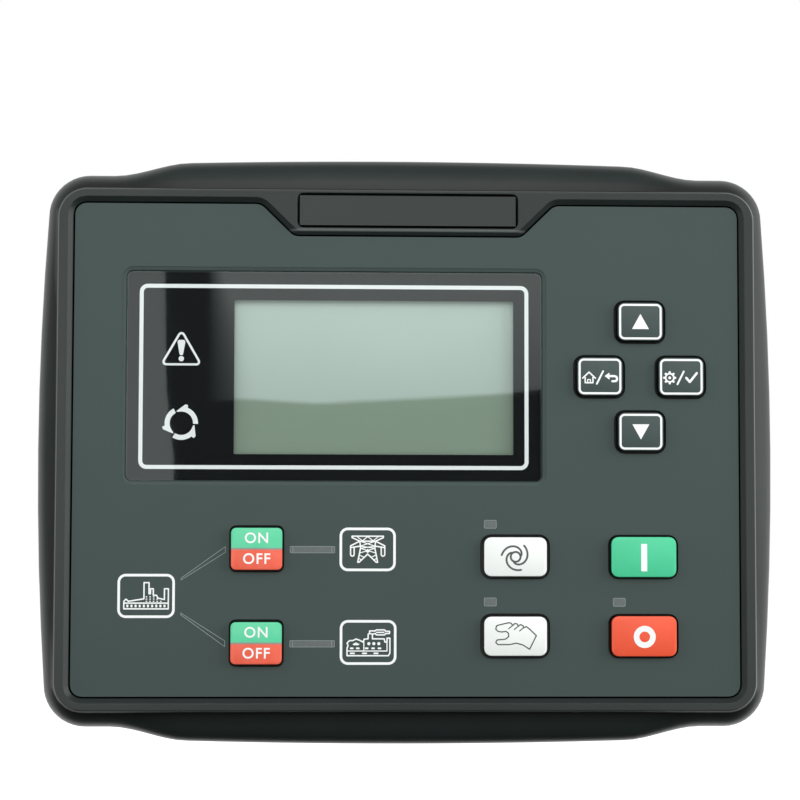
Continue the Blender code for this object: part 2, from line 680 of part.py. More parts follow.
def bezel_outline(share, inset=0.0):
    """Return the bezel's outline between the front frame (share 0) and the rim (share 1)."""
    frame_right = FRAME_WIDTH / 2 + CREASE_SPREAD
    frame_top = FRAME_HEIGHT / 2 + CREASE_SPREAD
    right = frame_right + (RIM_CORNER_WIDTH / 2 - frame_right) * share - inset
    top = frame_top + (RIM_FOOT_HEIGHT / 2 - frame_top) * share - inset
    radius = FRAME_CORNER + (RIM_CORNER - FRAME_CORNER) * share - inset
    upper = [(x, top + RIM_BULGE * share * bulge_share(x)) for x in edge_stations()]
    straight = top - radius
    places = [straight * (1 - 2 * i / SIDE_STEPS) for i in range(1, SIDE_STEPS)]
    side = [(right + RIM_BOW * share * (1 - (z / straight) ** 2), z) for z in places]
    turns = [math.pi / 2 * i / RIM_CORNER_STEPS for i in range(RIM_CORNER_STEPS + 1)]
    arc = [(radius * math.cos(turn), radius * math.sin(turn)) for turn in turns]
    middle_x = right - radius
    points = [(middle_x + x, straight + z) for x, z in arc]
    points += upper
    points += [(-middle_x - x, straight + z) for x, z in reversed(arc)]
    points += [(-x, z) for x, z in side]
    points += [(-middle_x - x, -straight - z) for x, z in arc]
    points += [(-x, -z) for x, z in upper]
    points += [(middle_x + x, -straight - z) for x, z in reversed(arc)]
    points += [(x, -z) for x, z in side]
    return points


def bezel_body():
    """Loft the moulded wall from the seat over the rim and the crease up to the frame."""
    rings = [
        ring_at(bezel_outline(1.0, RIM_BREAK), SEAT_Y),
        ring_at(bezel_outline(1.0), SEAT_Y - RIM_BREAK),
    ]
    shoulder = RIM_Y + (CREASE_Y - RIM_Y) * RIM_SHOULDER_SHARE
    for step in range(WALL_STEPS + 1):
        along = step / WALL_STEPS
        share = 1 - along * along
        first = RIM_Y * (1 - along) ** 2
        last = CREASE_Y * along * along
        rings.append(ring_at(bezel_outline(share), first + 2 * shoulder * along * (1 - along) + last))
    rings.append(ring_at(bezel_outline(0.0, CREASE_SPREAD), FRAME_FRONT_Y + FRAME_FILLET))
    rings.append(ring_at(bezel_outline(0.0, CREASE_SPREAD + FRAME_FILLET), FRAME_FRONT_Y))
    return loft("front_bezel", rings, CHARCOAL)


def groove_cutter():
    """Return the ring that makes the seal's groove in the back of the rim."""
    inner = rectangle(GROOVE_INNER_WIDTH, GROOVE_INNER_HEIGHT, GROOVE_CORNER)
    outer = grown(inner, GROOVE_BREADTH)
    rings = [arc_points(outer), arc_points(inner)]
    return prism("groove_cutter", rings, SEAT_Y - GROOVE_DEPTH, SEAT_Y + OVERRUN)


def window_cutter():
    """Return the cutter of the panel's recess with its sloping rim."""
    groove = grown(panel_corners(), PANEL_GROOVE)
    slope = SLOPE_WIDTH / SLOPE_DEPTH
    lip = grown(groove, slope * (SLOPE_DEPTH + OVERRUN))
    floor = FRAME_FRONT_Y + SLOPE_DEPTH
    return loft("window_cutter", [
        ring_at(arc_points(lip), FRAME_FRONT_Y - OVERRUN),
        ring_at(arc_points(groove), floor),
        ring_at(arc_points(groove), LEDGE_FRONT_Y),
    ])


def build_bezel():
    """Make the moulded front frame, its panel recess, hollow back and screw bosses."""
    bezel = bezel_body()
    through = arc_points(grown(panel_corners(), -LEDGE_WIDTH))
    ledge = prism("ledge_cutter", [through], LEDGE_FRONT_Y - OVERRUN, LEDGE_BACK_Y + OVERRUN)
    cavity = span_box("cavity_cutter", CAVITY_WIDTH, CAVITY_HEIGHT, (0.0, 0.0),
                      LEDGE_BACK_Y, SEAT_Y + OVERRUN, corner=CAVITY_CORNER)
    plate = rectangle(NAMEPLATE_WIDTH, NAMEPLATE_HEIGHT, NAMEPLATE_CORNER, (0.0, NAMEPLATE_CENTRE_Z))
    recess = prism("nameplate_cutter", [arc_points(grown(plate, FIT_GAP))],
                   FRAME_FRONT_Y - OVERRUN,
                   FRAME_FRONT_Y + NAMEPLATE_SINK + NAMEPLATE_THICKNESS + FIT_GAP)
    cut(bezel, window_cutter(), ledge, cavity, groove_cutter(), recess)
    inner_x = BOSS_X - BOSS_DIAMETER / 2 - BOSS_PAD_EDGE
    inner_z = BOSS_Z - BOSS_DIAMETER / 2 - BOSS_PAD_EDGE
    outer_x = PANEL_WIDTH / 2 - LEDGE_WIDTH + BOSS_PAD_ROOT
    outer_z = PANEL_HEIGHT / 2 - LEDGE_WIDTH + BOSS_PAD_ROOT
    for number, (x, z) in enumerate(boss_places(), 1):
        side = math.copysign(1.0, x)
        level = math.copysign(1.0, z)
        pad = span_box(f"boss_pad_{number}", outer_x - inner_x, outer_z - inner_z,
                       (side * (inner_x + outer_x) / 2, level * (inner_z + outer_z) / 2),
                       LEDGE_FRONT_Y, LEDGE_BACK_Y)
        boss = rod(f"boss_{number}", BOSS_DIAMETER, (x, z), LEDGE_FRONT_Y + OVERRUN,
                   BAY_FLOOR_Y - FIT_GAP)
        bore = rod(f"boss_bore_{number}", BORE_DIAMETER, (x, z),
                   BAY_Y - SCREW_LENGTH - FIT_GAP, BAY_FLOOR_Y + OVERRUN)
        fuse(bezel, pad, boss)
        cut(bezel, bore)


def boss_places():
    """Return the four screw places."""
    return [(x, z) for z in (BOSS_Z, -BOSS_Z) for x in (-BOSS_X, BOSS_X)]


def key_groups():
    """Return every group of keys with its hole, cap size and corner."""
    return [
        (NAV_KEYS, NAV_HOLE_WIDTH, NAV_HOLE_HEIGHT, NAV_KEY_WIDTH, NAV_KEY_HEIGHT, KEY_CORNER),
        (MODE_KEYS, MODE_HOLE_WIDTH, MODE_HOLE_HEIGHT, MODE_KEY_WIDTH, MODE_KEY_HEIGHT, KEY_CORNER),
        (RUN_KEYS, RUN_HOLE_WIDTH, RUN_HOLE_HEIGHT, RUN_KEY_WIDTH, RUN_KEY_HEIGHT, KEY_CORNER),
        (BREAKER_KEYS, BREAKER_HOLE_WIDTH, BREAKER_HOLE_HEIGHT, BREAKER_KEY_WIDTH,
         BREAKER_KEY_HEIGHT, BREAKER_CORNER),
    ]


def key_places():
    """Return the middle of every key."""
    return [place for group in key_groups() for place in group[0].values()]


def wedge(point_z, end_z):
    """Return the outline of a light bar that widens to the right."""
    tip = WEDGE_POINT_HEIGHT / 2
    end = WEDGE_END_HEIGHT / 2
    return [
        (WEDGE_POINT_X, point_z - tip),
        (WEDGE_END_X, end_z - end),
        (WEDGE_END_X, end_z + end),
        (WEDGE_POINT_X, point_z + tip),
    ]


def lamp_outlines():
    """Return the outline of every lamp that shows in the face panel."""
    outlines = {name: rectangle(LAMP_WIDTH, LAMP_HEIGHT, LAMP_CORNER, place)
                for name, place in LAMPS.items()}
    for name, place in BARS.items():
        outlines[name] = rectangle(BAR_WIDTH, BAR_HEIGHT, LAMP_CORNER, place)
    for name, ends in (("load_mains_lamp", (WEDGE_POINT_Z, MAINS_BAR_Z)),
                       ("load_genset_lamp", (LOWER_WEDGE_POINT_Z, GENSET_BAR_Z))):
        outlines[name] = [(x, z, 0.0) for x, z in wedge(*ends)]
    return outlines


def plain_points(corners):
    """Return an outline's points, with arcs only where it has rounded corners."""
    if corners[0][2] > 0:
        return arc_points(corners, 2)
    return [(x, z) for x, z, radius in corners]


def build_face_panel():
    """Make the front plate with its key holes, lamp slots and stepped display window."""
    outlines = [arc_points(panel_corners())]
    for places, hole_width, hole_height, key_width, key_height, corner in key_groups():
        radius = corner + (hole_width - key_width) / 2
        for place in places.values():
            outlines.append(arc_points(rectangle(hole_width, hole_height, radius, place)))
    for corners in lamp_outlines().values():
        outlines.append(plain_points(grown_slot(corners)))
    lens = rectangle(LENS_WIDTH, LENS_HEIGHT, LENS_CORNER, (LENS_CENTRE_X, LENS_CENTRE_Z))
    opening = rectangle(LENS_WIDTH - 2 * LENS_LEDGE, LENS_HEIGHT - 2 * LENS_LEDGE, LENS_CORNER,
                        (LENS_CENTRE_X, LENS_CENTRE_Z))
    outlines.append(arc_points(opening))
    panel = prism("face_panel", outlines, PANEL_FRONT_Y, PANEL_BACK_Y, PANEL_GREY)
    seat = grown(lens, FIT_GAP)
    spread = WINDOW_CHAMFER / WINDOW_CHAMFER_DEPTH
    mouth = grown(seat, spread * (WINDOW_CHAMFER_DEPTH + OVERRUN))
    pocket = loft("lens_pocket", [
        ring_at(arc_points(mouth), PANEL_FRONT_Y - OVERRUN),
        ring_at(arc_points(seat), PANEL_FRONT_Y + WINDOW_CHAMFER_DEPTH),
        ring_at(arc_points(seat), LENS_BACK_Y + FIT_GAP),
    ])
    cut(panel, pocket)


def grown_slot(corners):
    """Return a lamp's slot, which is larger than the lamp by the fit all round."""
    if corners[0][2] > 0:
        return grown(corners, FIT_GAP)
    return [(x, z, 0.0) for x, z, bend in grown(corners, FIT_GAP)]


def build_trim():
    """Make the blank nameplate, the seal and the display's clear cover."""
    plate_front = FRAME_FRONT_Y + NAMEPLATE_SINK
    span_box("nameplate_insert", NAMEPLATE_WIDTH, NAMEPLATE_HEIGHT, (0.0, NAMEPLATE_CENTRE_Z),
             plate_front, plate_front + NAMEPLATE_THICKNESS, CHARCOAL, NAMEPLATE_CORNER)
    inner = grown(rectangle(GROOVE_INNER_WIDTH, GROOVE_INNER_HEIGHT, GROOVE_CORNER), FIT_GAP)
    outer = grown(inner, GROOVE_BREADTH - 2 * FIT_GAP)
    prism("panel_gasket", [arc_points(outer), arc_points(inner)],
          SEAT_Y - GROOVE_DEPTH + FIT_GAP, SEAT_Y, RUBBER_BLACK)
    span_box("display_lens", LENS_WIDTH, LENS_HEIGHT, (LENS_CENTRE_X, LENS_CENTRE_Z),
             LENS_BACK_Y - LENS_THICKNESS, LENS_BACK_Y, LENS_CLEAR, LENS_CORNER)


def build_display():
    """Make the liquid crystal cell, its sheet frame and the light guide behind it."""
    centre = (CELL_CENTRE_X, CELL_CENTRE_Z)
    rim = 2 * (SHEET + FIT_GAP)
    frame = span_box("lcd_frame", CELL_WIDTH + rim, CELL_HEIGHT + rim, centre,
                     LCD_FRAME_FRONT_Y, ON_BOARD_Y, SHEET_METAL)
    view = span_box("view_cutter", CELL_VIEW_WIDTH, CELL_VIEW_HEIGHT, centre,
                    LCD_FRAME_FRONT_Y - OVERRUN, ON_BOARD_Y)
    inside = span_box("lcd_frame_cutter", CELL_WIDTH + 2 * FIT_GAP, CELL_HEIGHT + 2 * FIT_GAP,
                      centre, LCD_FRAME_FRONT_Y + SHEET, ON_BOARD_Y + OVERRUN)
    cut(frame, view, inside)
    span_box("lcd_cell", CELL_WIDTH, CELL_HEIGHT, centre, CELL_FRONT_Y, CELL_BACK_Y, LCD_GREY)
    span_box("backlight_panel", CELL_WIDTH, CELL_HEIGHT, centre, CELL_BACK_Y + FIT_GAP,
             ON_BOARD_Y - LIGHT_GUIDE_PLAY, GUIDE_WHITE)


def build_key(name, place, width, height, corner, look):
    """Make one key with its cap, the flange behind the panel and the stem to its switch."""
    x, z = place
    group = bpy.data.objects.new(f"{name}_axis", None)
    MODEL.objects.link(group)
    group.location = (x, PANEL_FRONT_Y, z)
    key = span_box(name, width, height, (0.0, 0.0), -KEY_PROUD, FLANGE_FRONT_Y - PANEL_FRONT_Y
                   + FLANGE_THICKNESS / 2, look, corner, KEY_EDGE)
    key.parent = group
    return key


def finish_key(key, place, hole_width, hole_height, corner):
    """Fuse the flange and the stem with a key's cap."""
    overlap = 2 * FLANGE_OVERLAP
    flange = span_box(f"{key.name}_flange", hole_width + overlap, hole_height + overlap, place,
                      FLANGE_FRONT_Y, FLANGE_BACK_Y, corner=corner)
    stem = span_box(f"{key.name}_stem", STEM_WIDTH, STEM_WIDTH, place,
                    FLANGE_FRONT_Y + FLANGE_THICKNESS / 2, STEM_END_Y, corner=STEM_CORNER)
    fuse(key, flange, stem)


def key_look(name):
    """Return the plastic of one key."""
    if name in MODE_KEYS:
        return KEY_WHITE
    if name in ("key_start", "key_mains_breaker", "key_genset_breaker"):
        return KEY_GREEN
    if name == "key_stop":
        return KEY_RED
    return KEY_DARK


def build_keys():
    """Make the ten push keys."""
    for places, hole_width, hole_height, key_width, key_height, corner in key_groups():
        for name, place in places.items():
            key = build_key(name, place, key_width, key_height, corner, key_look(name))
            finish_key(key, place, hole_width, hole_height, corner)


def build_lamps():
    """Make the light pipes of the face panel and the two behind the display's cover."""
    for name, corners in lamp_outlines().items():
        prism(name, [plain_points(corners)], PANEL_FRONT_Y + LAMP_SINK,
              CARRIER_FRONT_Y - FIT_GAP, LAMP_CLEAR)
    front = LENS_BACK_Y + FIT_GAP
    span_box("alarm_lamp", ALARM_WIDTH, ALARM_HEIGHT, (SIGN_X, ALARM_Z), front, ON_BOARD_Y,
             LAMP_CLEAR)
    rod("status_lamp", STATUS_DIAMETER, (SIGN_X, STATUS_Z), front, ON_BOARD_Y, LAMP_CLEAR,
        2 * ROUND_STEPS)


def build_carrier():
    """Make the plate that guides the key stems, on its posts."""
    corners = [
        (CARRIER_LEFT_X, CARRIER_BOTTOM_Z, CARRIER_CORNER),
        (CARRIER_RIGHT_X, CARRIER_BOTTOM_Z, CARRIER_CORNER),
        (CARRIER_RIGHT_X, CARRIER_TOP_Z, CARRIER_CORNER),
        (CARRIER_STEP_X, CARRIER_TOP_Z, CARRIER_CORNER),
        (CARRIER_STEP_X, CARRIER_STEP_Z, CARRIER_CORNER),
        (CARRIER_LEFT_X, CARRIER_STEP_Z, CARRIER_CORNER),
    ]
    outlines = [arc_points(corners, 2)]
    guide = STEM_WIDTH + 2 * FIT_GAP
    for place in key_places():
        outlines.append(arc_points(rectangle(guide, guide, STEM_CORNER + FIT_GAP, place)))
    carrier = prism("key_carrier", outlines, CARRIER_FRONT_Y, CARRIER_BACK_Y, GUIDE_WHITE)
    left = CARRIER_LEFT_X + CARRIER_POST_INSET
    right = BOARD_WIDTH / 2 - CARRIER_POST_INSET
    low = CARRIER_BOTTOM_Z + CARRIER_POST_INSET
    high = CARRIER_TOP_Z - CARRIER_POST_INSET
    step = CARRIER_STEP_Z - CARRIER_POST_INSET
    posts = [(left, low), (right, low), (left, step), (right, high), (CARRIER_STEP_X
             + CARRIER_POST_INSET, high), (0.0, step), (0.0, low)]
    for number, place in enumerate(posts, 1):
        post = rod(f"carrier_post_{number}", CARRIER_POST_DIAMETER, place,
                   CARRIER_FRONT_Y + CARRIER_THICKNESS / 2, ON_BOARD_Y, segments=ROUND_STEPS)
        fuse(carrier, post)


def build_boards():
    """Make the two circuit boards with what is soldered to them."""
    main_back = MAIN_BOARD_Y + BOARD_THICKNESS
    main = span_box("main_board", BOARD_WIDTH, BOARD_HEIGHT, (0.0, 0.0), MAIN_BOARD_Y, main_back,
                    BOARD_GREEN, BOARD_CORNER)
    for number, place in enumerate(key_places(), 1):
        switch = span_box(f"tact_switch_{number}", SWITCH_WIDTH, SWITCH_WIDTH, place,
                          SWITCH_TOP_Y, MAIN_BOARD_Y + BOARD_THICKNESS / 2)
        fuse(main, switch)
    terminal_back = TERMINAL_BOARD_Y + BOARD_THICKNESS
    terminal = span_box("terminal_board", BOARD_WIDTH, BOARD_HEIGHT, (0.0, 0.0),
                        TERMINAL_BOARD_Y, terminal_back, BOARD_GREEN, BOARD_CORNER)
    for number, place in enumerate(plug_places(), 1):
        header = span_box(f"header_{number}", PLUG_WIDTH, PLUG_HEIGHT, place,
                          TERMINAL_BOARD_Y + BOARD_THICKNESS / 2, BAY_Y)
        fuse(terminal, header)
    gap_front = main_back + FIT_GAP
    gap_back = TERMINAL_BOARD_Y - FIT_GAP
    span_box("board_link", LINK_WIDTH, LINK_HEIGHT, (0.0, LINK_Z), gap_front, gap_back,
             HOUSING_BLACK)
    places = [(x, z) for z in (SPACER_Z, -SPACER_Z) for x in (-SPACER_X, SPACER_X)]
    for number, place in enumerate(places, 1):
        rod(f"board_spacer_{number}", SPACER_DIAMETER, place, gap_front, gap_back, STEEL, 6)


def plug_places():
    """Return the middle of every terminal plug, the upper row first."""
    first = -PLUG_PITCH * (PLUG_COUNT - 1) / 2
    row = [first + PLUG_PITCH * index for index in range(PLUG_COUNT)]
    return [(x, z) for z in (PLUG_Z, -PLUG_Z) for x in row]


def slot_row(name, count, width, height, depth, centre):
    """Make a row of upright slots as one cutter."""
    bm = bmesh.new()
    first = -VENT_PITCH * (count - 1) / 2
    for index in range(count):
        place = Matrix.Translation((first + VENT_PITCH * index, 0.0, 0.0))
        bmesh.ops.create_cube(bm, size=1.0,
                              matrix=place @ Matrix.Diagonal((width, depth, height, 1.0)))
    item = add_object(name, mesh_from(name, bm))
    item.location = centre
    return item


def build_housing():
    """Make the rear housing with its terminal bays, vents and clip slots."""
    front = LEDGE_BACK_Y + FIT_GAP
    housing = span_box("rear_housing", HOUSING_WIDTH, HOUSING_HEIGHT, (0.0, 0.0), front, BAY_Y,
                       HOUSING_BLACK, HOUSING_CORNER)
    rear = span_box("rear_block", REAR_WIDTH, REAR_HEIGHT, (0.0, 0.0), BAY_Y - REAR_ROOT,
                    HOUSING_BACK_Y, corner=HOUSING_CORNER)
    fuse(housing, rear)
    walls = 2 * HOUSING_WALL
    hollow = span_box("hollow_cutter", HOUSING_WIDTH - walls, HOUSING_HEIGHT - walls, (0.0, 0.0),
                      front - OVERRUN, BAY_FLOOR_Y, corner=HOUSING_EDGE)
    rear_hollow = span_box("rear_hollow_cutter", REAR_WIDTH - walls, REAR_HEIGHT - walls,
                           (0.0, 0.0), BAY_FLOOR_Y - OVERRUN, HOUSING_BACK_Y - HOUSING_WALL,
                           corner=HOUSING_EDGE)
    cut(housing, hollow, rear_hollow)
    for number, place in enumerate(plug_places(), 1):
        opening = span_box(f"header_cutter_{number}", PLUG_WIDTH + 2 * FIT_GAP,
                           PLUG_HEIGHT + 2 * FIT_GAP, place, BAY_FLOOR_Y - OVERRUN, BAY_Y + OVERRUN)
        cut(housing, opening)
    for number, place in enumerate(boss_places(), 1):
        cut(housing, rod(f"screw_cutter_{number}", BORE_DIAMETER, place, BAY_FLOOR_Y - OVERRUN,
                         BAY_Y + OVERRUN))
    port = span_box("port_cutter", USB_WIDTH + 2 * FIT_GAP, USB_HEIGHT + 2 * FIT_GAP,
                    (USB_X, USB_Z), HOUSING_BACK_Y - HOUSING_WALL - OVERRUN,
                    HOUSING_BACK_Y + OVERRUN)
    vents = slot_row("vent_cutter", VENT_COUNT, VENT_WIDTH, HOUSING_HEIGHT + 2 * OVERRUN,
                     VENT_LENGTH, (0.0, VENT_Y, 0.0))
    rear_vents = slot_row("rear_vent_cutter", REAR_VENT_COUNT, VENT_WIDTH, REAR_VENT_HEIGHT,
                          HOUSING_WALL + 2 * OVERRUN,
                          (0.0, HOUSING_BACK_Y - HOUSING_WALL / 2, REAR_VENT_HEIGHT / 2))
    cut(housing, port, vents, rear_vents)
    hook_length = HOOK_BACK_Y - HOOK_FRONT_Y + 2 * FIT_GAP
    middle = (HOOK_BACK_Y + HOOK_FRONT_Y) / 2
    for number, level in enumerate((CLIP_Z, -CLIP_Z), 1):
        size = (HOUSING_WIDTH + 2 * OVERRUN, hook_length, CLIP_HEIGHT + 2 * FIT_GAP)
        cut(housing, box(f"hook_cutter_{number}", size, (0.0, middle, level)))


def build_screws():
    """Make the four screws that hold the rear housing to the bezel."""
    top = SCREW_LENGTH + FIT_GAP
    profile = [
        (0.0, top + SCREW_HEAD_HEIGHT),
        (SCREW_HEAD_DIAMETER / 2, top + SCREW_HEAD_HEIGHT),
        (SCREW_HEAD_DIAMETER / 2, top),
        (SCREW_DIAMETER / 2, top),
        (SCREW_DIAMETER / 2, 0.0),
        (0.0, 0.0),
    ]
    for number, place in enumerate(boss_places(), 1):
        turned(f"housing_screw_{number}", profile, place, BAY_Y - SCREW_LENGTH, STEEL)


def build_plugs():
    """Make the pluggable terminals on the rear."""
    front = BAY_Y + FIT_GAP
    first = -POLE_PITCH * (POLE_COUNT - 1) / 2
    for number, (x, z) in enumerate(plug_places(), 1):
        outward = math.copysign(1.0, z)
        plug = span_box(f"terminal_plug_{number}", PLUG_WIDTH, PLUG_HEIGHT, (x, z), front,
                        PLUG_BACK_Y, PLUG_GREEN)
        step_z = z + outward * (PLUG_HEIGHT - PLUG_STEP_HEIGHT) / 2
        step = span_box(f"plug_step_{number}", PLUG_WIDTH + 2 * OVERRUN,
                        PLUG_STEP_HEIGHT + OVERRUN, (x, step_z + outward * OVERRUN / 2),
                        PLUG_BACK_Y - PLUG_STEP_DEPTH, PLUG_BACK_Y + OVERRUN)
        cut(plug, step)
        bm = bmesh.new()
        for pole in range(POLE_COUNT):
            place = Matrix.Translation((first + POLE_PITCH * pole, 0.0, 0.0))
            size = Matrix.Diagonal((WIRE_HOLE, WIRE_HOLE_DEPTH + OVERRUN, WIRE_HOLE, 1.0))
            bmesh.ops.create_cube(bm, size=1.0, matrix=place @ size)
        entries = add_object(f"wire_cutter_{number}", mesh_from("wire_cutter", bm))
        entries.location = (x, PLUG_BACK_Y + (OVERRUN - WIRE_HOLE_DEPTH) / 2,
                            z - outward * WIRE_HOLE_DROP)
        cut(plug, entries)


def build_usb():
    """Make the service socket in the rear wall."""
    front = TERMINAL_BOARD_Y + BOARD_THICKNESS + FIT_GAP
    place = (USB_X, USB_Z)
    socket = span_box("usb_socket", USB_WIDTH, USB_HEIGHT, place, front, HOUSING_BACK_Y, SHEET_METAL)
    pocket_front = HOUSING_BACK_Y - USB_DEPTH
    pocket = span_box("usb_pocket", USB_WIDTH - 2 * USB_WALL, USB_HEIGHT - 2 * USB_WALL, place,
                      pocket_front, HOUSING_BACK_Y + OVERRUN)
    tongue = span_box("usb_tongue", USB_TONGUE_WIDTH, USB_TONGUE_HEIGHT, place,
                      pocket_front - OVERRUN, HOUSING_BACK_Y - USB_TONGUE_SET_BACK)
    cut(socket, pocket)
    fuse(socket, tongue)


def build_clips():
    """Make the four side clips with the screws that clamp the door."""
    wall = HOUSING_WIDTH / 2
    inner = wall + FIT_GAP
    hook = wall - HOUSING_WALL + FIT_GAP
    reach = wall + LUG_REACH
    shape = [
        (inner, CLIP_FRONT_Y),
        (inner + CLIP_ARM, CLIP_FRONT_Y),
        (inner + CLIP_ARM, LUG_FRONT_Y),
        (reach, LUG_FRONT_Y),
        (reach, CLIP_BACK_Y),
        (inner, CLIP_BACK_Y),
        (inner, HOOK_BACK_Y),
        (hook, HOOK_BACK_Y),
        (hook, HOOK_FRONT_Y),
        (inner, HOOK_FRONT_Y),
    ]
    screw_x = (inner + CLIP_ARM + reach) / 2
    bore = CLIP_SCREW_DIAMETER + 2 * FIT_GAP
    length = CLIP_SCREW_BACK_Y - CLIP_SCREW_TIP_Y
    shank = length - CLIP_SCREW_HEAD_HEIGHT
    profile = [
        (0.0, length),
        (CLIP_SCREW_HEAD_DIAMETER / 2, length),
        (CLIP_SCREW_HEAD_DIAMETER / 2, shank),
        (CLIP_SCREW_DIAMETER / 2, shank),
        (CLIP_SCREW_DIAMETER / 2, 0.0),
        (0.0, 0.0),
    ]
    places = [(side, level) for level in (CLIP_Z, -CLIP_Z) for side in (-1, 1)]
    for number, (side, level) in enumerate(places, 1):
        points = [(side * x, y) for x, y in shape]
        clip = prism(f"fixing_clip_{number}", [points], level - CLIP_HEIGHT / 2,
                     level + CLIP_HEIGHT / 2, HOUSING_BLACK, upright=False)
        place = (side * screw_x, level)
        cut(clip, rod(f"clip_cutter_{number}", bore, place, LUG_FRONT_Y - OVERRUN,
                      CLIP_BACK_Y + OVERRUN))
        turned(f"clip_screw_{number}", profile, place, CLIP_SCREW_TIP_Y, STEEL)


def shade_round_pieces():
    """Shade every piece smooth and keep its edges crisp."""
    for item in MODEL.objects:
        if item.type == "MESH":
            item.data.shade_smooth()
            item.data.set_sharp_from_angle(angle=math.radians(30.0))


def main():
    """Build the controller."""
    build_bezel()
    build_face_panel()
    build_trim()
    build_display()
    build_keys()
    build_lamps()
    build_carrier()
    build_boards()
    build_housing()
    build_screws()
    build_plugs()
    build_usb()
    build_clips()
    shade_round_pieces()


if __name__ == "__main__":
    main()
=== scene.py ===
"""Dresses a panel-mounted genset controller: film, display, keys, pictograms and studio."""

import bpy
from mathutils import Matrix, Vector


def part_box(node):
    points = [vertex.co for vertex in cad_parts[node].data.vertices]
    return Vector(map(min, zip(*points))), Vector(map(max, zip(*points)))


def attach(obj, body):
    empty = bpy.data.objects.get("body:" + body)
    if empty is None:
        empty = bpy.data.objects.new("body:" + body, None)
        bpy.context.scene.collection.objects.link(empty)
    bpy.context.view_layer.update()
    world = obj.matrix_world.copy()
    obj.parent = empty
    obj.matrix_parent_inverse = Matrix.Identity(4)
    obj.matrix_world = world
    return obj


bl_info = {
    "name": "Genset controller dressing",
    "version": (1, 0, 0),
    "blender": (4, 5, 0),
    "location": "View3D > Sidebar > Controller",
    "description": "Finishes the controller's solids and adds its prints, display and studio",
    "category": "Object",
}

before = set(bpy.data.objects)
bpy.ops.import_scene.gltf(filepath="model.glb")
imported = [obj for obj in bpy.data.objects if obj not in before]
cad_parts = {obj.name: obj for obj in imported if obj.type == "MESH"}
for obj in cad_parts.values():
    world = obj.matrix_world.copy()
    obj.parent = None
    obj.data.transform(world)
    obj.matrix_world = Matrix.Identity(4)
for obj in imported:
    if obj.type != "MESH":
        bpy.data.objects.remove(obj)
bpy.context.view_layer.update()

import math
from collections import Counter

import bmesh
import bpy
from bpy.props import FloatProperty, FloatVectorProperty, PointerProperty
from bpy.types import Operator, Panel, PropertyGroup
from mathutils import Matrix, Vector
from mathutils.geometry import delaunay_2d_cdt

MILLIMETRE = 0.001
BODY = "controller"
FACE_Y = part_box("face_panel")[0].y
LENS_BACK_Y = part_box("display_lens")[1].y
NAV_KEYS = ("key_up", "key_down", "key_home", "key_confirm")
MODE_KEYS = ("key_auto", "key_manual")
BREAKER_KEYS = ("key_mains_breaker", "key_genset_breaker")

# Raised frame round the panel: its reach past the panel, its corner and its creases, in metres;
# the groove reach and the valley width bound painted shade, the crease width a painted highlight
FRAME_REACH_X = 0.0046
FRAME_REACH_Z = 0.0041
FRAME_CORNER = 0.0084
GROOVE_REACH = 0.0009
GROOVE_SOFTNESS = 0.0002
VALLEY_WIDTH = 0.0042
CREASE_WIDTH = 0.0003
FINE_STEP = 0.0001
# Ledge under the name plate, which carries a painted highlight, and the plate's rim, which carries
# painted shade, in metres
LEDGE_DROP = 0.00095
LEDGE_HALF = 0.00012
LEDGE_SHARE = 0.345  # of the panel's half width
PLATE_RIM = 0.00042
# Tone of the painted shade in the grooves, tone of the painted highlight on the creases, and how
# strongly each crease and the ledge show it
PAINTED_SHADE = (0.001, 0.001, 0.001)
CREASE_HIGHLIGHT_TONE = (0.30, 0.34, 0.33)
CREASE_HIGHLIGHT = 0.10
SIDE_HIGHLIGHT = 0.14
RIGHT_HIGHLIGHT = 0.30
LEDGE_HIGHLIGHT = 0.45

# Bare margins of the liquid crystal cell, in metres
CELL_MARGIN_X = 0.003
CELL_MARGIN_Z = 0.004
# Upper edge of the painted reflection on the display's lower part, in shares of its width and
# height
HORIZON = 0.331
HORIZON_SOFTNESS = 0.030
HORIZON_PEAK = 0.30
HORIZON_SLOPE = 0.11
HORIZON_WAVE = 0.016

# Depth behind a key cap's face where the painted shade down its sides begins, and half the line
# between a breaker key's colours, in metres
CAP_UNSHADED_DEPTH = 0.00032
SPLIT_HALF = 0.00028
# Prints behind the display's cover and on the keys, in metres
MASK_GAP = 0.00006
MASK_THICKNESS = 0.00005
PRINT_GAP = 0.00002
WHITE_FRAME_PLACE = (-0.02065, 0.02043)
LETTER_HEIGHT = 0.0029
CAPITAL_SHARE = 0.70  # of the size of the type
# Depth of a cap behind its face, and the lamp slots that the film covers, in metres
CAP_DEPTH = 0.0012
WIDEST_LAMP = 0.013
SLOT_PLAY = 0.0015
# Outlines of the prints, in millimetres
MASK_INSET = 0.4
MASK_CORNER = 1.5
WINDOW_CORNER = 0.3
LINE_CORNER = 2.3
KEY_FRAME_INSET = 0.8
KEY_FRAME_CORNER = 1.5
KEY_FRAME_LINE = 0.58
ROTOR_LINE = 0.54
RIM_LINE = 0.12
BAR_END = 0.8

# Drives of the screws, plug poles and socket contacts, in metres
CROSS_DRIVE = ((0.0029, 0.0007), (0.0007, 0.0029))
SLOT_DRIVE = ((0.0080, 0.0010),)
POLES = 10
POLE_PITCH = 0.0050
PLUG_STEP = 0.0035
SCREW_INSET = 0.00225
SCREW_RADIUS = 0.0015
CAGE_DEPTH = 0.0056
CAGE_INSET = 0.0016
CONTACT_PITCH = 0.0014

# Soft lamps: name, place, size and power
LAMPS = (
    ("lamp_front", (-0.10, -1.45, 0.85), 1.1, 12.0),
    ("lamp_right", (1.15, -0.35, 0.30), 0.9, 12.0),
    ("lamp_left", (-1.15, -0.35, 0.30), 0.9, 5.0),
)
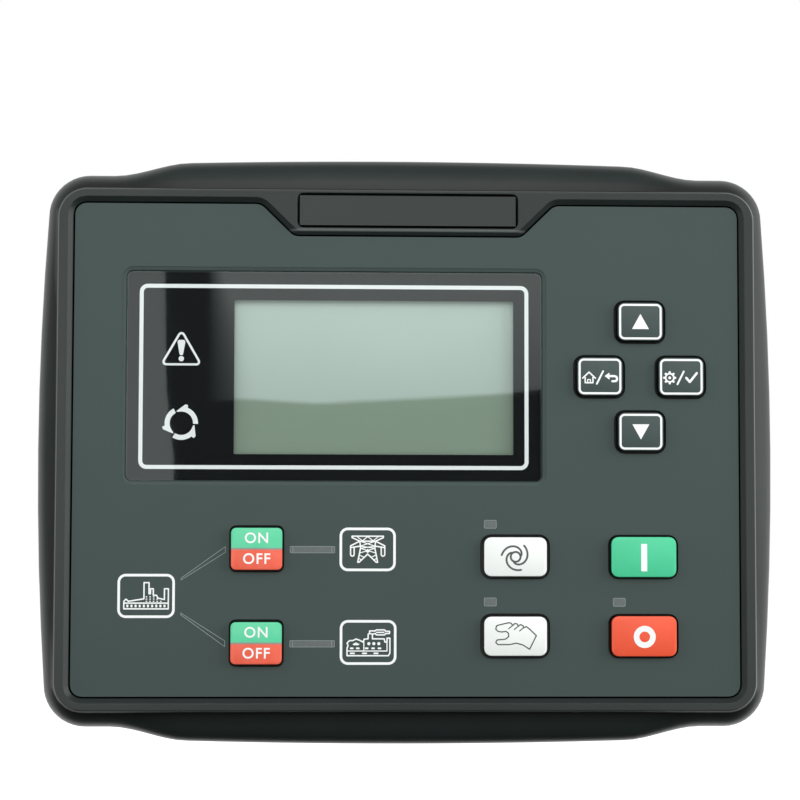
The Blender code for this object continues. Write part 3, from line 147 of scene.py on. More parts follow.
# Dark land that the display's cover mirrors: places across and up, in metres
LANDSCAPE = (
    (-0.1010, -0.220), (-0.1070, 0.020), (-0.1115, 0.060), (-0.1135, 0.160), (-0.0885, 0.160),
    (-0.090, 0.052), (-0.060, 0.053), (-0.040, 0.051), (-0.015, 0.0505), (0.015, 0.0525),
    (0.050, 0.054), (0.080, 0.057), (0.120, 0.062), (0.165, 0.065), (0.165, -0.220),
)
# Grey light over that land, in metres, and the tint of the cards
SKY_FOOT = 0.052
SKY_HEIGHT = 0.075
SKY_LEFT = -0.0885
LAMP_IMAGE_X = 0.026
LAMP_IMAGE_REACH = 0.055
CARD_TINT = (0.90, 1.0, 0.97)


def colour_property(label, words, value):
    """Make a colour setting."""
    return FloatVectorProperty(name=label, description=words, default=value, subtype="COLOR",
                               size=3, min=0.0, max=1.0)


def length_property(label, words, value):
    """Make a length setting."""
    return FloatProperty(name=label, description=words, default=value, unit="LENGTH",
                         subtype="DISTANCE", precision=5)


class ControllerColours(PropertyGroup):
    """Colours of the controller's plastics, inks and metals."""
    bezel: colour_property("Bezel", "Charcoal plastic of the frame", (0.0166, 0.0233, 0.0216))
    film: colour_property("Film", "Grey-green front film", (0.0300, 0.0520, 0.0470))
    housing: colour_property("Housing", "Black plastic of the rear housing", (0.016, 0.017, 0.018))
    white_key: colour_property("White key", "Mode keys", (0.80, 0.83, 0.81))
    green_key: colour_property("Green key", "Start key and upper half of the breaker keys",
                               (0.050, 0.545, 0.275))
    red_key: colour_property("Red key", "Stop key and lower half of the breaker keys",
                             (0.800, 0.082, 0.026))
    ink: colour_property("Light ink", "Frames and pictograms", (0.84, 0.87, 0.86))
    dark_ink: colour_property("Dark ink", "Pictograms on the white keys", (0.055, 0.060, 0.062))
    window: colour_property("Lamp window", "Unlit windows and light bars", (0.105, 0.125, 0.120))
    border: colour_property("Display border", "Dark mask behind the cover", (0.006, 0.007, 0.008))
    display_top: colour_property("Display top", "Upper part of the display", (0.45, 0.56, 0.497))
    # Colour of the painted reflection on the display's lower part
    display_foot: colour_property("Display foot", "Lower part of the display",
                                  (0.172, 0.240, 0.168))
    plug: colour_property("Plug", "Green terminal plastic", (0.030, 0.230, 0.090))
    board: colour_property("Board", "Solder mask of the circuit boards", (0.012, 0.105, 0.045))
    metal: colour_property("Metal", "Zinc plate and tinned sheet", (0.60, 0.61, 0.62))


class ControllerSizes(PropertyGroup):
    """Sizes of the film, the prints and the fine detail."""
    film_thickness: length_property("Film thickness", "Film over the face panel", 0.00018)
    ink_thickness: length_property("Ink thickness", "Height of the printed marks", 0.00003)
    ink_line: length_property("Ink line", "Line of the pictogram frames", 0.00072)
    fine_line: length_property("Fine line", "Line inside the pictograms", 0.00038)
    display_width: length_property("Display width", "Width of the display's window", 0.0790)
    display_height: length_property("Display height", "Height of the display's window", 0.0436)
    display_x: length_property("Display place across", "Middle of the display's window", -0.00943)
    display_z: length_property("Display place up", "Middle of the display's window", 0.02032)
    lens_frame_width: length_property("Cover frame width", "White frame on the cover", 0.1101)
    lens_frame_height: length_property("Cover frame height", "White frame on the cover", 0.05235)
    lens_frame_line: length_property("Cover frame line", "Line of the white frame", 0.00112)


class StageSizes(PropertyGroup):
    """Camera and studio."""
    distance: length_property("Camera distance", "From the face panel", 0.620)
    camera_x: length_property("Camera across", "To the left of the middle", -0.02435)
    camera_z: length_property("Camera height", "Below the middle", -0.02530)
    yaw: FloatProperty(name="Turn", description="Turn to the right", default=0.035870,
                       subtype="ANGLE")
    pitch: FloatProperty(name="Tilt", description="Tilt upwards", default=0.063098,
                         subtype="ANGLE")
    roll: FloatProperty(name="Roll", description="Roll of the picture", default=0.0021542,
                        subtype="ANGLE")
    lens: FloatProperty(name="Lens", description="Focal length in millimetres", default=99.08,
                        unit="CAMERA")
    floor_z: length_property("Floor height", "Pale floor below the part", -0.160)


def colours():
    """Return the colour settings."""
    return bpy.context.scene.controller_colours


def sizes():
    """Return the size settings."""
    return bpy.context.scene.controller_sizes


def studio():
    """Return the stage settings."""
    return bpy.context.scene.controller_stage


class Field:
    """A number that changes over a surface, written in ordinary arithmetic."""

    def __init__(self, nodes, socket):
        self.nodes = nodes
        self.socket = socket

    def other(self, output):
        """Return another output of the same node."""
        return Field(self.nodes, self.socket.node.outputs[output])

    def math(self, operation, *values, clamp=False):
        """Add one Math node."""
        return self.nodes.add("ShaderNodeMath", {"operation": operation, "use_clamp": clamp},
                              dict(enumerate(values)))

    def __add__(self, other):
        return self.math("ADD", self, other)

    def __radd__(self, other):
        return self.math("ADD", other, self)

    def __sub__(self, other):
        return self.math("SUBTRACT", self, other)

    def __rsub__(self, other):
        return self.math("SUBTRACT", other, self)

    def __mul__(self, other):
        return self.math("MULTIPLY", self, other)

    def __rmul__(self, other):
        return self.math("MULTIPLY", other, self)

    def __truediv__(self, other):
        return self.math("DIVIDE", self, other)

    def clamped(self):
        """Keep the number between 0 and 1."""
        return self.math("MULTIPLY", self, 1.0, clamp=True)

    def magnitude(self):
        """Drop the number's sign."""
        return self.math("ABSOLUTE", self)

    def larger(self, other):
        """Return the larger of two numbers."""
        return self.math("MAXIMUM", self, other)

    def above(self, edge, softness):
        """Return 0 below an edge and 1 above it, with a soft step."""
        return ((self - edge) / softness + 0.5).clamped()


class Nodes:
    """Adds nodes to the tree of a material or of the world."""

    def __init__(self, tree, output):
        self.tree = tree
        self.output = tree.nodes[output]

    def feed(self, socket, value):
        """Link a socket, or set its value."""
        if isinstance(value, Field):
            value = value.socket
        if isinstance(value, bpy.types.NodeSocket):
            self.tree.links.new(value, socket)
        else:
            socket.default_value = value

    def add(self, kind, settings=None, inputs=None, output=0):
        """Add a node: its settings first, then its sockets, and return one output."""
        node = self.tree.nodes.new(kind)
        for key, value in (settings or {}).items():
            setattr(node, key, value)
        for key, value in (inputs or {}).items():
            self.feed(node.inputs[key], value)
        return Field(self, node.outputs[output])

    def mix_shaders(self, factor, first, second):
        """Send a mix of two shaders to the output."""
        mixed = self.add("ShaderNodeMixShader", {}, {0: factor, 1: first, 2: second})
        self.feed(self.output.inputs["Surface"], mixed)

    def seen_rays(self):
        """Return 1 for camera, glossy and transmission rays."""
        camera = self.add("ShaderNodeLightPath", output="Is Camera Ray")
        seen = camera + camera.other("Is Glossy Ray") + camera.other("Is Transmission Ray")
        return seen.clamped()


class Surface(Nodes):
    """Builds the nodes of one material round its Principled shader."""

    def __init__(self, name):
        self.material = bpy.data.materials.new(name)
        self.material.use_nodes = True
        super().__init__(self.material.node_tree, "Material Output")
        self.shader = self.tree.nodes["Principled BSDF"]

    def place(self, stretch=(1.0, 1.0, 1.0)):
        """Return the object's own coordinates in metres, stretched where a grain needs it."""
        where = self.add("ShaderNodeTexCoord", output="Object")
        return self.add("ShaderNodeVectorMath", {"operation": "MULTIPLY"}, {0: where, 1: stretch})

    def axes(self):
        """Return the three coordinates as numbers."""
        split = self.add("ShaderNodeSeparateXYZ", {}, {0: self.place()})
        return [split.other(axis) for axis in "XYZ"]

    def noise(self, size, detail=3.0, stretch=(1.0, 1.0, 1.0)):
        """Return noise whose lumps are about one size across, in metres."""
        inputs = {"Vector": self.place(stretch), "Scale": 1.0 / size, "Detail": detail}
        return self.add("ShaderNodeTexNoise", {}, inputs, "Fac")

    def blend(self, factor, first, second):
        """Mix two colours."""
        return self.add("ShaderNodeMix", {"data_type": "RGBA"},
                        {0: factor, 6: opaque(first), 7: opaque(second)}, 2)

    def fed(self, name):
        """Return what feeds a socket of the shader."""
        return Field(self, self.shader.inputs[name].links[0].from_socket)

    def set(self, **values):
        """Set the shader's sockets, whose spaces are written as underscores."""
        for key, value in values.items():
            socket = self.shader.inputs[key.replace("_", " ")]
            self.feed(socket, opaque(value) if socket.type == "RGBA" else value)
        return self

    def bump(self, height, distance, rounding=None):
        """Let a height change the surface's normal, over edges rounded for the light."""
        inputs = {"Height": height, "Distance": distance}
        if rounding:
            inputs["Normal"] = self.add("ShaderNodeBevel", {"samples": 6}, {"Radius": rounding},
                                        "Normal")
        self.feed(self.shader.inputs["Normal"],
                  self.add("ShaderNodeBump", {}, inputs, "Normal"))
        return self


def opaque(colour):
    """Add an alpha of 1 to a plain colour, and pass sockets on."""
    if isinstance(colour, (Field, bpy.types.NodeSocket)):
        return colour
    values = tuple(colour)
    return values if len(values) == 4 else (*values, 1.0)


def shaded(colour, factor):
    """Return a colour made lighter or darker."""
    return tuple(min(1.0, channel * factor) for channel in colour)


MADE = {}


def made(maker):
    """Return the material of a finish, and make it the first time it is asked for."""
    name = maker.__name__
    if name not in MADE:
        MADE[name] = maker(name).material
    return MADE[name]


def moulded(name, colour, roughness, grain=0.00022, depth=0.000006, rounding=None):
    """Make a moulded plastic with spark-eroded grain, faint mottling and uneven gloss."""
    surface = Surface(name)
    mottle = surface.noise(0.018, 4.0)
    fine = surface.noise(grain, 2.0)
    tone = surface.blend(mottle, shaded(colour, 0.90), shaded(colour, 1.10))
    surface.set(Base_Color=tone, Roughness=roughness - 0.05 + mottle * 0.06 + fine * 0.06)
    return surface.bump(fine, depth, rounding)


def toned(name, dark, light, grain, roughness, spread, relief=0.0, **sockets):
    """Make a finish whose grain (size, detail and stretch) shifts its tone, gloss and height."""
    surface = Surface(name)
    specks = surface.noise(*grain)
    surface.set(Base_Color=surface.blend(specks, dark, light),
                Roughness=roughness + specks * spread, **sockets)
    return surface.bump(specks, relief) if relief else surface


def bezel_finish(name):
    """Charcoal plastic of the front frame, with painted shade in its grooves and in the valley
    outside it, and painted highlights along its creases and on the ledge under the name plate.
    """
    surface = moulded(name, colours().bezel, roughness=0.34, rounding=0.00035)
    across, depth, up = surface.axes()
    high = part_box("face_panel")[1]
    # Painted shade in the groove round the panel; Metallic there over a near-black colour takes
    # away its reflection too
    painted_groove_shade = 1.0 - across.magnitude().above(high.x + GROOVE_REACH, GROOVE_SOFTNESS)
    painted_groove_shade = painted_groove_shade * (1.0 - up.magnitude().above(high.z + GROOVE_REACH, GROOVE_SOFTNESS))
    painted_groove_shade = painted_groove_shade * depth.above(FACE_Y + FINE_STEP, FINE_STEP)
    beside = beside_frame(across, up)
    # Painted shade in the valley just outside the frame's edge
    painted_valley_shade = beside.above(0.0, CREASE_WIDTH) * (1.0 - (beside / VALLEY_WIDTH).clamped()) * 0.85
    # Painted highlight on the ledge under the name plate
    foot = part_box("nameplate_insert")[0].z - LEDGE_DROP
    painted_ledge_highlight = (1.0 - ((up - foot).magnitude() - LEDGE_HALF) / CREASE_WIDTH).clamped()
    painted_ledge_highlight = painted_ledge_highlight * (1.0 - across.magnitude().above(high.x * LEDGE_SHARE, 0.004))
    # Painted highlights on the frame's creases, stronger at the sides and strongest on the right
    sides = across.magnitude().above(high.x, 0.01) * SIDE_HIGHLIGHT
    right = across.above(high.x, 0.01) * RIGHT_HIGHLIGHT
    painted_crease_highlight = (1.0 - beside.magnitude() / CREASE_WIDTH).clamped()
    light = (painted_crease_highlight * (sides + right + CREASE_HIGHLIGHT)).larger(painted_ledge_highlight * LEDGE_HIGHLIGHT)
    # Blend in the painted shade, then the painted highlights
    tone = surface.blend(painted_groove_shade.larger(painted_valley_shade), surface.fed("Base Color"), PAINTED_SHADE)
    return surface.set(Base_Color=surface.blend(light, tone, CREASE_HIGHLIGHT_TONE),
                       Metallic=painted_groove_shade * (1.0 - painted_ledge_highlight),
                       Roughness=surface.fed("Roughness") + painted_groove_shade * 0.5 + painted_valley_shade * 0.15)


def beside_frame(across, up):
    """Return how far a point lies outside the raised frame, and less than 0 within it."""
    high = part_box("face_panel")[1]
    past_x = (across.magnitude() - (high.x + FRAME_REACH_X - FRAME_CORNER)).larger(0.0)
    past_z = (up.magnitude() - (high.z + FRAME_REACH_Z - FRAME_CORNER)).larger(0.0)
    square = past_x * past_x + past_z * past_z
    return square.math("POWER", square, 0.5) - FRAME_CORNER


def plate_finish(name):
    """Charcoal plastic of the blank name plate, with painted shade along its rebated rim."""
    surface = moulded(name, colours().bezel, roughness=0.40)
    across, _, up = surface.axes()
    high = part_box("nameplate_insert")[1]
    level = middle_of("nameplate_insert")[1]
    # Painted shade round the plate's rim; Metallic there takes away its reflection too
    rim = (across.magnitude() - high.x).larger((up - level).magnitude() - (high.z - level))
    rim = rim.above(-PLATE_RIM, FINE_STEP)
    return surface.set(Base_Color=surface.blend(rim, surface.fed("Base Color"), PAINTED_SHADE),
                       Metallic=rim)


def housing_finish(name):
    """Black plastic of the rear."""
    return moulded(name, colours().housing, roughness=0.50, grain=0.00035, depth=0.000012)


def rubber_finish(name):
    """Matt black seal."""
    return moulded(name, (0.012, 0.012, 0.012), roughness=0.85, grain=0.0004, depth=0.00002)


def plug_finish(name):
    """Green terminal plastic."""
    return moulded(name, colours().plug, roughness=0.42, grain=0.0003, depth=0.000008)


def guide_finish(name):
    """White plastic of light guides and carrier."""
    return moulded(name, (0.74, 0.75, 0.72), roughness=0.45, grain=0.0003, depth=0.000008)


def film_finish(name):
    """Matt printed film with a fine tooth and faint cloudiness."""
    colour = colours().film
    surface = Surface(name)
    cloud = surface.noise(0.030, 5.0)
    tooth = surface.noise(0.00016, 1.0)
    fleck = surface.noise(0.0011, 2.0)
    tone = surface.blend(cloud, shaded(colour, 0.93), shaded(colour, 1.08))
    tone = surface.blend(fleck * 0.20, tone, shaded(colour, 1.25))
    surface.set(Base_Color=tone, Roughness=0.62 + cloud * 0.05 + tooth * 0.05)
    return surface.bump(tooth, 0.000004)


def worn_cap(name):
    """Make a satin key cap, and return it with the faint wear of fingers."""
    surface = Surface(name)
    wear = surface.noise(0.004, 3.0)
    fine = surface.noise(0.0002, 2.0)
    surface.set(Roughness=0.38 + wear * 0.10 + fine * 0.04)
    return surface.bump(fine, 0.000003), wear


def cap_side(surface):
    """Return 0 on the faces of the key caps and 1 down their sides, where shade is painted."""
    depth = surface.axes()[1]
    return depth.above(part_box("key_up")[0].y + CAP_UNSHADED_DEPTH, 0.00020)


def key_finish(name, colour):
    """Key cap in one colour, with painted shade down its sides."""
    surface, wear = worn_cap(name)
    tone = surface.blend(wear, shaded(colour, 0.97), shaded(colour, 1.03))
    # Painted shade down the cap's sides
    return surface.set(Base_Color=surface.blend(cap_side(surface), tone, shaded(colour, 0.05)))


def dark_key_finish(name):
    """Grey-green navigation key."""
    return key_finish(name, shaded(colours().film, 1.10))


def white_key_finish(name):
    """White mode key."""
    return key_finish(name, colours().white_key)


def green_key_finish(name):
    """Green start key."""
    return key_finish(name, colours().green_key)


def red_key_finish(name):
    """Red stop key."""
    return key_finish(name, colours().red_key)


def breaker_key_finish(name):
    """Breaker key whose upper half is green and lower half red, with painted shade down its sides.
    """
    surface, wear = worn_cap(name)
    up = surface.axes()[2]
    lower, split = [], []
    for key in BREAKER_KEYS:
        low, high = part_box(key)
        middle = middle_of(key)[1]
        near = up.math("COMPARE", up, middle, (high.z - low.z) / 2)
        lower.append(near * up.math("LESS_THAN", up, middle))
        split.append(up.math("COMPARE", up, middle, SPLIT_HALF))
    tone = surface.blend(lower[0] + lower[1], colours().green_key, colours().red_key)
    tone = surface.blend((split[0] + split[1]) * 0.8, tone, (0.20, 0.20, 0.18))
    tone = surface.blend(wear * 0.08, tone, (1.0, 1.0, 1.0))
    # Painted shade down the cap's sides
    return surface.set(Base_Color=surface.blend(cap_side(surface) * 0.95, tone, (0.0, 0.0, 0.0)))


def ink_finish(name):
    """Screen-printed light ink."""
    ink = colours().ink
    return toned(name, shaded(ink, 0.94), ink, (0.00018, 2.0), roughness=0.42, spread=0.10)


def dark_ink_finish(name):
    """Dark ink on the white keys."""
    ink = colours().dark_ink
    return toned(name, ink, shaded(ink, 1.4), (0.00018, 2.0), roughness=0.45, spread=0.10)


def window_finish(name):
    """Frosted lamp window in the film."""
    colour = colours().window
    return toned(name, shaded(colour, 0.75), shaded(colour, 1.20), (0.0006, 3.0),
                 roughness=0.35, spread=0.15, relief=0.000006)


def window_edge_finish(name):
    """Thin light line round a lamp window."""
    colour = colours().window
    return toned(name, shaded(colour, 2.0), shaded(colour, 3.0), (0.0004, 2.0),
                 roughness=0.40, spread=0.10)


def border_finish(name):
    """Dark mask printed behind the cover."""
    colour = colours().border
    return toned(name, colour, shaded(colour, 1.5), (0.010, 3.0), roughness=0.50, spread=0.10,
                 Specular_IOR_Level=0.05)


def metal_finish(name):
    """Zinc plate or tinned sheet with a faint brushed grain."""
    colour = colours().metal
    return toned(name, shaded(colour, 0.85), colour, (0.0008, 4.0, (1.0, 0.15, 1.0)),
                 roughness=0.26, spread=0.16, relief=0.000008, Metallic=1.0)


def gold_finish(name):
    """Plated contacts."""
    return toned(name, (0.62, 0.42, 0.13), (0.80, 0.58, 0.22), (0.0006, 3.0),
                 roughness=0.24, spread=0.12, Metallic=1.0)


def board_finish(name):
    """Solder mask with tracks showing through as a lighter green."""
    surface = Surface(name)
    tracks = surface.add("ShaderNodeTexBrick", {}, {"Vector": surface.place(), "Scale": 120.0,
                         "Mortar Size": 0.03}, "Fac")
    tone = surface.blend(tracks, colours().board, shaded(colours().board, 1.7))
    surface.set(Base_Color=tone, Roughness=0.28 + surface.noise(0.006, 3.0) * 0.15)
    return surface.bump(tracks, 0.00002)


def lens_finish(name):
    """Clear hard-coated cover that shows soft reflections."""
    surface = Surface(name)
    haze = surface.noise(0.020, 3.0)
    surface.set(Base_Color=(1.0, 1.0, 1.0), Metallic=1.0, Roughness=0.015 + haze * 0.02)
    facing = surface.add("ShaderNodeFresnel", {}, {"IOR": 1.85})
    inside = surface.add("ShaderNodeNewGeometry", output="Backfacing")
    clear = surface.add("ShaderNodeBsdfTransparent", {}, {"Color": (0.97, 0.98, 0.98, 1.0)})
    surface.mix_shaders(facing * (1.0 - inside), clear, surface.shader.outputs["BSDF"])
    return surface


def display_finish(name):
    """Unlit liquid crystal display: pale above and darker towards the bottom, with a painted
    reflection in a greener tone below a soft wavy edge.
    """
    low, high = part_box("lcd_cell")
    top, foot = colours().display_top, colours().display_foot
    surface = Surface(name)
    across, _, up = surface.axes()
    waves = surface.noise(0.022, 4.0, (1.0, 1.0, 0.35))
    level = (up - (low.z + CELL_MARGIN_Z)) / (high.z - low.z - 2 * CELL_MARGIN_Z)
    share = (across - (low.x + CELL_MARGIN_X)) / (high.x - low.x - 2 * CELL_MARGIN_X)
    field = level - (share - HORIZON_PEAK).magnitude() * HORIZON_SLOPE
    field = field + (waves - 0.5) * HORIZON_WAVE
    # Painted reflection: the greener tone below the soft wavy edge
    below = 1.0 - field.above(HORIZON, HORIZON_SOFTNESS)
    grain = surface.noise(0.0015, 4.0, (0.4, 1.0, 1.6))
    # Darker towards the bottom
    tone = surface.blend(level.above(0.72, 0.9), shaded(top, 0.80), top)
    tone = surface.blend(below * 0.80, tone, foot)
    tone = surface.blend(below * grain * 0.35, tone, shaded(foot, 1.45))
    return surface.set(Base_Color=tone, Roughness=0.32 + grain * 0.06)


def rounded(width, height, radius, centre=(0.0, 0.0), steps=8):
    """Return a rounded rectangle's points, in millimetres."""
    points = []
    for quarter, (side, level) in enumerate(((1, 1), (-1, 1), (-1, -1), (1, -1))):
        x = centre[0] + side * (width / 2 - radius)
        z = centre[1] + level * (height / 2 - radius)
        for step in range(steps + 1):
            turn = math.pi / 2 * (quarter + step / steps)
            points.append((x + radius * math.cos(turn), z + radius * math.sin(turn)))
    return points


def arc(radius, start, end, centre=(0.0, 0.0), steps=16):
    """Return points along an arc between two angles in degrees."""
    turns = [math.radians(start + (end - start) * step / steps) for step in range(steps + 1)]
    return [(centre[0] + radius * math.cos(turn), centre[1] + radius * math.sin(turn))
            for turn in turns]


def circle(radius, centre=(0.0, 0.0), steps=32):
    """Return a circle's points."""
    return arc(radius, 0.0, 360.0, centre, steps)[:-1]


class Artwork:
    """Flat shapes in millimetres round a place on the front, made into one thin solid."""

    def __init__(self, centre=(0.0, 0.0)):
        self.centre = centre
        self.shapes = []

    def fill(self, *outlines):
        """Add a filled outline and its holes."""
        self.shapes.append([list(outline) for outline in outlines])
        return self

    def frame(self, width, height, radius, line):
        """Add a rounded frame, measured over its line."""
        inner = rounded(width - 2 * line, height - 2 * line, radius - line)
        return self.fill(rounded(width, height, radius), inner)

    def stroke(self, points, line, closed=False):
        """Add a line of even width with round joints."""
        path = [Vector(point) for point in points]
        ends = path[1:] + path[:1] if closed else path[1:]
        for start, end in zip(path, ends):
            if (end - start).length > 0:
                along = (end - start).normalized() * line / 2
                side = Vector((-along.y, along.x))
                self.fill([start + side, start - side, end - side, end + side])
        for point in path:
            self.fill(circle(line / 2, point, 8))
        return self

    def mirrored_strokes(self, lines, line):
        """Add several open lines and their mirror images."""
        for points in lines:
            self.stroke(points, line)
            self.stroke([(-x, z) for x, z in points], line)
        return self

    def flattened(self):
        """Return the points of all outlines, their corners wound one way, and their shapes."""
        points, faces, owners = [], [], []
        for number, shape in enumerate(self.shapes):
            for outline in shape:
                start = len(points)
                points += [Vector(point[:2]) for point in outline]
                corners = points[start:]
                area = sum(one.cross(two) for one, two in zip(corners, corners[1:] + corners[:1]))
                order = list(range(start, len(points)))
                faces.append(order if area > 0 else order[::-1])
                owners.append(number)
        return points, faces, owners

    def build(self, name, front, thickness, finish, body=BODY):
        """Join the shapes into one solid, front face at a depth, and let it ride on a body."""
        points, faces, owners = self.flattened()
        places, _, cells, _, _, sources = delaunay_2d_cdt(points, [], faces, 1, 0.00001)
        inside = []
        for cell, source in zip(cells, sources):
            depths = Counter(owners[outline] for outline in source)
            if any(depth % 2 for depth in depths.values()):
                inside.append(cell)
        mesh = bmesh.new()
        corners = [mesh.verts.new((self.centre[0] + place.x * MILLIMETRE, front,
                                   self.centre[1] + place.y * MILLIMETRE)) for place in places]
        flat = [mesh.faces.new([corners[corner] for corner in cell]) for cell in inside]
        bmesh.ops.delete(mesh, geom=[corner for corner in corners if not corner.link_faces],
                         context="VERTS")
        grown = bmesh.ops.extrude_face_region(mesh, geom=flat)["geom"]
        moved = [part for part in grown if isinstance(part, bmesh.types.BMVert)]
        bmesh.ops.translate(mesh, verts=moved, vec=(0.0, thickness, 0.0))
        bmesh.ops.recalc_face_normals(mesh, faces=mesh.faces)
        return add_piece(name, mesh, finish, body)


def new_object(name, mesh):
    """Put a bmesh in the scene as an object and free it."""
    data = bpy.data.meshes.new(name)
    mesh.to_mesh(data)
    mesh.free()
    item = bpy.data.objects.new(name, data)
    bpy.context.scene.collection.objects.link(item)
    return item


def add_piece(name, mesh, finish, body=BODY):
    """Put a bmesh in the scene with its finish, and let it ride on a body."""
    item = new_object(name, mesh)
    item.data.materials.append(finish)
    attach(item, body)
    return item


def middle_of(node):
    """Return the middle of a solid's face, seen from the front."""
    low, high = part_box(node)
    return ((low.x + high.x) / 2, (low.z + high.z) / 2)


def size_of(node):
    """Return a solid's width and height in millimetres."""
    low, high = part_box(node)
    return (high.x - low.x) / MILLIMETRE, (high.z - low.z) / MILLIMETRE


def relative(point, origin=(0.0, 0.0)):
    """Return a place in metres as millimetres from an origin."""
    return ((point[0] - origin[0]) / MILLIMETRE, (point[1] - origin[1]) / MILLIMETRE)


def film_front():
    """Return the depth of the film's face."""
    return FACE_Y - sizes().film_thickness


def print_on_film(art, name, finish, layer=1):
    """Print artwork on the film, above earlier layers of ink."""
    thickness = sizes().ink_thickness
    return art.build(name, film_front() - layer * thickness, thickness, made(finish))


def print_on_key(art, key, finish):
    """Print artwork on a key's face."""
    thickness = sizes().ink_thickness
    return art.build(f"{key}_print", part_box(key)[0].y - thickness, thickness, made(finish), key)


class CONTROLLER_OT_solids(Operator):
    """Give every solid that stays visible its finish."""
    bl_idname = "controller.solids"
    bl_label = "Finish the solids"

    def execute(self, context):
        finishes = (
            (bezel_finish, "front_bezel"),
            (film_finish, "face_panel"),
            (plate_finish, "nameplate_insert"),
            (lens_finish, "display_lens"),
            (display_finish, "lcd_cell"),
            (guide_finish, ("backlight_panel", "key_carrier")),
            (rubber_finish, "panel_gasket"),
            (board_finish, ("main_board", "terminal_board")),
            (housing_finish, ("board_link", "rear_housing", "fixing_clip")),
            (plug_finish, "terminal_plug"),
            (metal_finish, ("lcd_frame", "usb_socket", "clip_screw", "housing_screw",
                            "board_spacer")),
            (dark_key_finish, NAV_KEYS),
            (white_key_finish, MODE_KEYS),
            (green_key_finish, "key_start"),
            (red_key_finish, "key_stop"),
            (breaker_key_finish, BREAKER_KEYS),
        )
        for name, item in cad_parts.items():
            finish = window_finish if name.endswith("_lamp") else None
            for other, starts in finishes:
                if name.startswith(starts):
                    finish = other
            if finish is None:
                raise RuntimeError(f"{name} has no finish")
            item.data.shade_smooth()
            joined = item.modifiers.new("joined_corners", "WELD")
            joined.merge_threshold = 0.000001
            item.data.materials.clear()
            item.data.materials.append(made(finish))
        return {"FINISHED"}


class CONTROLLER_OT_film(Operator):
    """Lay the printed film over the face panel, open at the keys and the display."""
    bl_idname = "controller.film"
    bl_label = "Lay the film"

    def execute(self, context):
        loops = [[relative(point) for point in loop] for loop in face_outlines()]
        film = Artwork().fill(*loops).build("front_film", film_front(), sizes().film_thickness,
                                            made(film_finish))
        return {"FINISHED"}


def face_outlines():
    """Return the loops of the face panel's front face but those of its lamp slots."""
    lamps = [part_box(name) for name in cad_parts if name.endswith("_lamp")]
    loops = front_loops("face_panel", FACE_Y)
    kept = []
    for loop in loops:
        x = sum(point[0] for point in loop) / len(loop)
        z = sum(point[1] for point in loop) / len(loop)
        if not any(low.x < x < high.x and low.z < z < high.z and high.x - low.x < WIDEST_LAMP
                   and abs(size_loop(loop) - (high.x - low.x)) < SLOT_PLAY
                   for low, high in lamps):
            kept.append(loop)
    kept.sort(key=size_loop, reverse=True)
    return kept


def size_loop(loop):
    """Return a loop's width."""
    across = [point[0] for point in loop]
    return max(across) - min(across)


def front_loops(node, depth):
    """Return the closed edge loops that bound a solid's flat front face."""
    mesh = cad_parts[node].data
    spots = [(round(corner.co.x, 7), round(corner.co.z, 7)) for corner in mesh.vertices]
    sides = []
    for face in mesh.polygons:
        if face.normal.y < -0.99 and abs(face.center.y - depth) < 0.00005:
            corners = [spots[corner] for corner in face.vertices]
            sides += zip(corners, corners[1:] + corners[:1])
    count = Counter(frozenset(side) for side in sides)
    after = {}
    for here, there in sides:
        if count[frozenset((here, there))] == 1:
            after.setdefault(here, []).append(there)
    loops = []
    while after:
        start = next(iter(after))
        here = start
        loop = []
        while True:
            loop.append(here)
            there = after[here].pop()
            if not after[here]:
                del after[here]
            here = there
            if here == start:
                break
        loops.append(loop)
    return loops


class CONTROLLER_OT_display(Operator):
    """Print the mask, the white frame and the two signs behind the display's cover."""
    bl_idname = "controller.display"
    bl_label = "Print the display's cover"

    def execute(self, context):
        size = sizes()
        origin = middle_of("display_lens")
        width, height = size_of("display_lens")
        window = relative((size.display_x, size.display_z), origin)
        art = Artwork(origin)
        art.fill(rounded(width - MASK_INSET, height - MASK_INSET, MASK_CORNER),
                 rounded(size.display_width / MILLIMETRE, size.display_height / MILLIMETRE,
                         WINDOW_CORNER, window, 3))
        art.build("display_mask", LENS_BACK_Y + MASK_GAP, MASK_THICKNESS, made(border_finish))
        border = Artwork(WHITE_FRAME_PLACE)
        border.frame(size.lens_frame_width / MILLIMETRE, size.lens_frame_height / MILLIMETRE,
                     LINE_CORNER, size.lens_frame_line / MILLIMETRE)
        for name, art in (("display_white_frame", border), ("alarm_sign", alarm_sign()),
                          ("status_sign", status_sign())):
            art.build(name, LENS_BACK_Y + PRINT_GAP, size.ink_thickness, made(ink_finish))
        return {"FINISHED"}


def alarm_sign():
    """Draw a warning triangle with its mark."""
    art = Artwork((-0.06385, 0.02825))
    corners = ((-4.25, -3.7), (4.25, -3.7), (0.0, 3.65))
    path = []
    for (x, z), start in zip(corners, (150.0, 270.0, 30.0)):
        path += arc(0.75, start, start + 120.0, (x, z), 6)
    art.stroke(path, 0.62, closed=True)
    art.fill([(-1.10, 1.8), (-1.0, 2.3), (-0.55, 2.5), (0.55, 2.5), (1.0, 2.3), (1.10, 1.8),
              (0.50, -1.6), (0.25, -1.85), (-0.25, -1.85), (-0.50, -1.6)])
    art.fill(circle(0.76, (0.0, -2.85), 20))
    return art


def status_sign():
    """Draw three chasing arrows round a ring."""
    art = Artwork((-0.0637, 0.00715))
    for start in (-2.0, 118.0, 238.0):
        barb = arc(5.45, start + 72.0, start + 80.0, steps=1)
        point = arc(3.7, start + 115.0, start + 115.0, steps=1)[:1]
        art.fill(arc(4.7, start, start + 70.0) + barb + point + arc(3.3, start + 108.0, start))
    return art


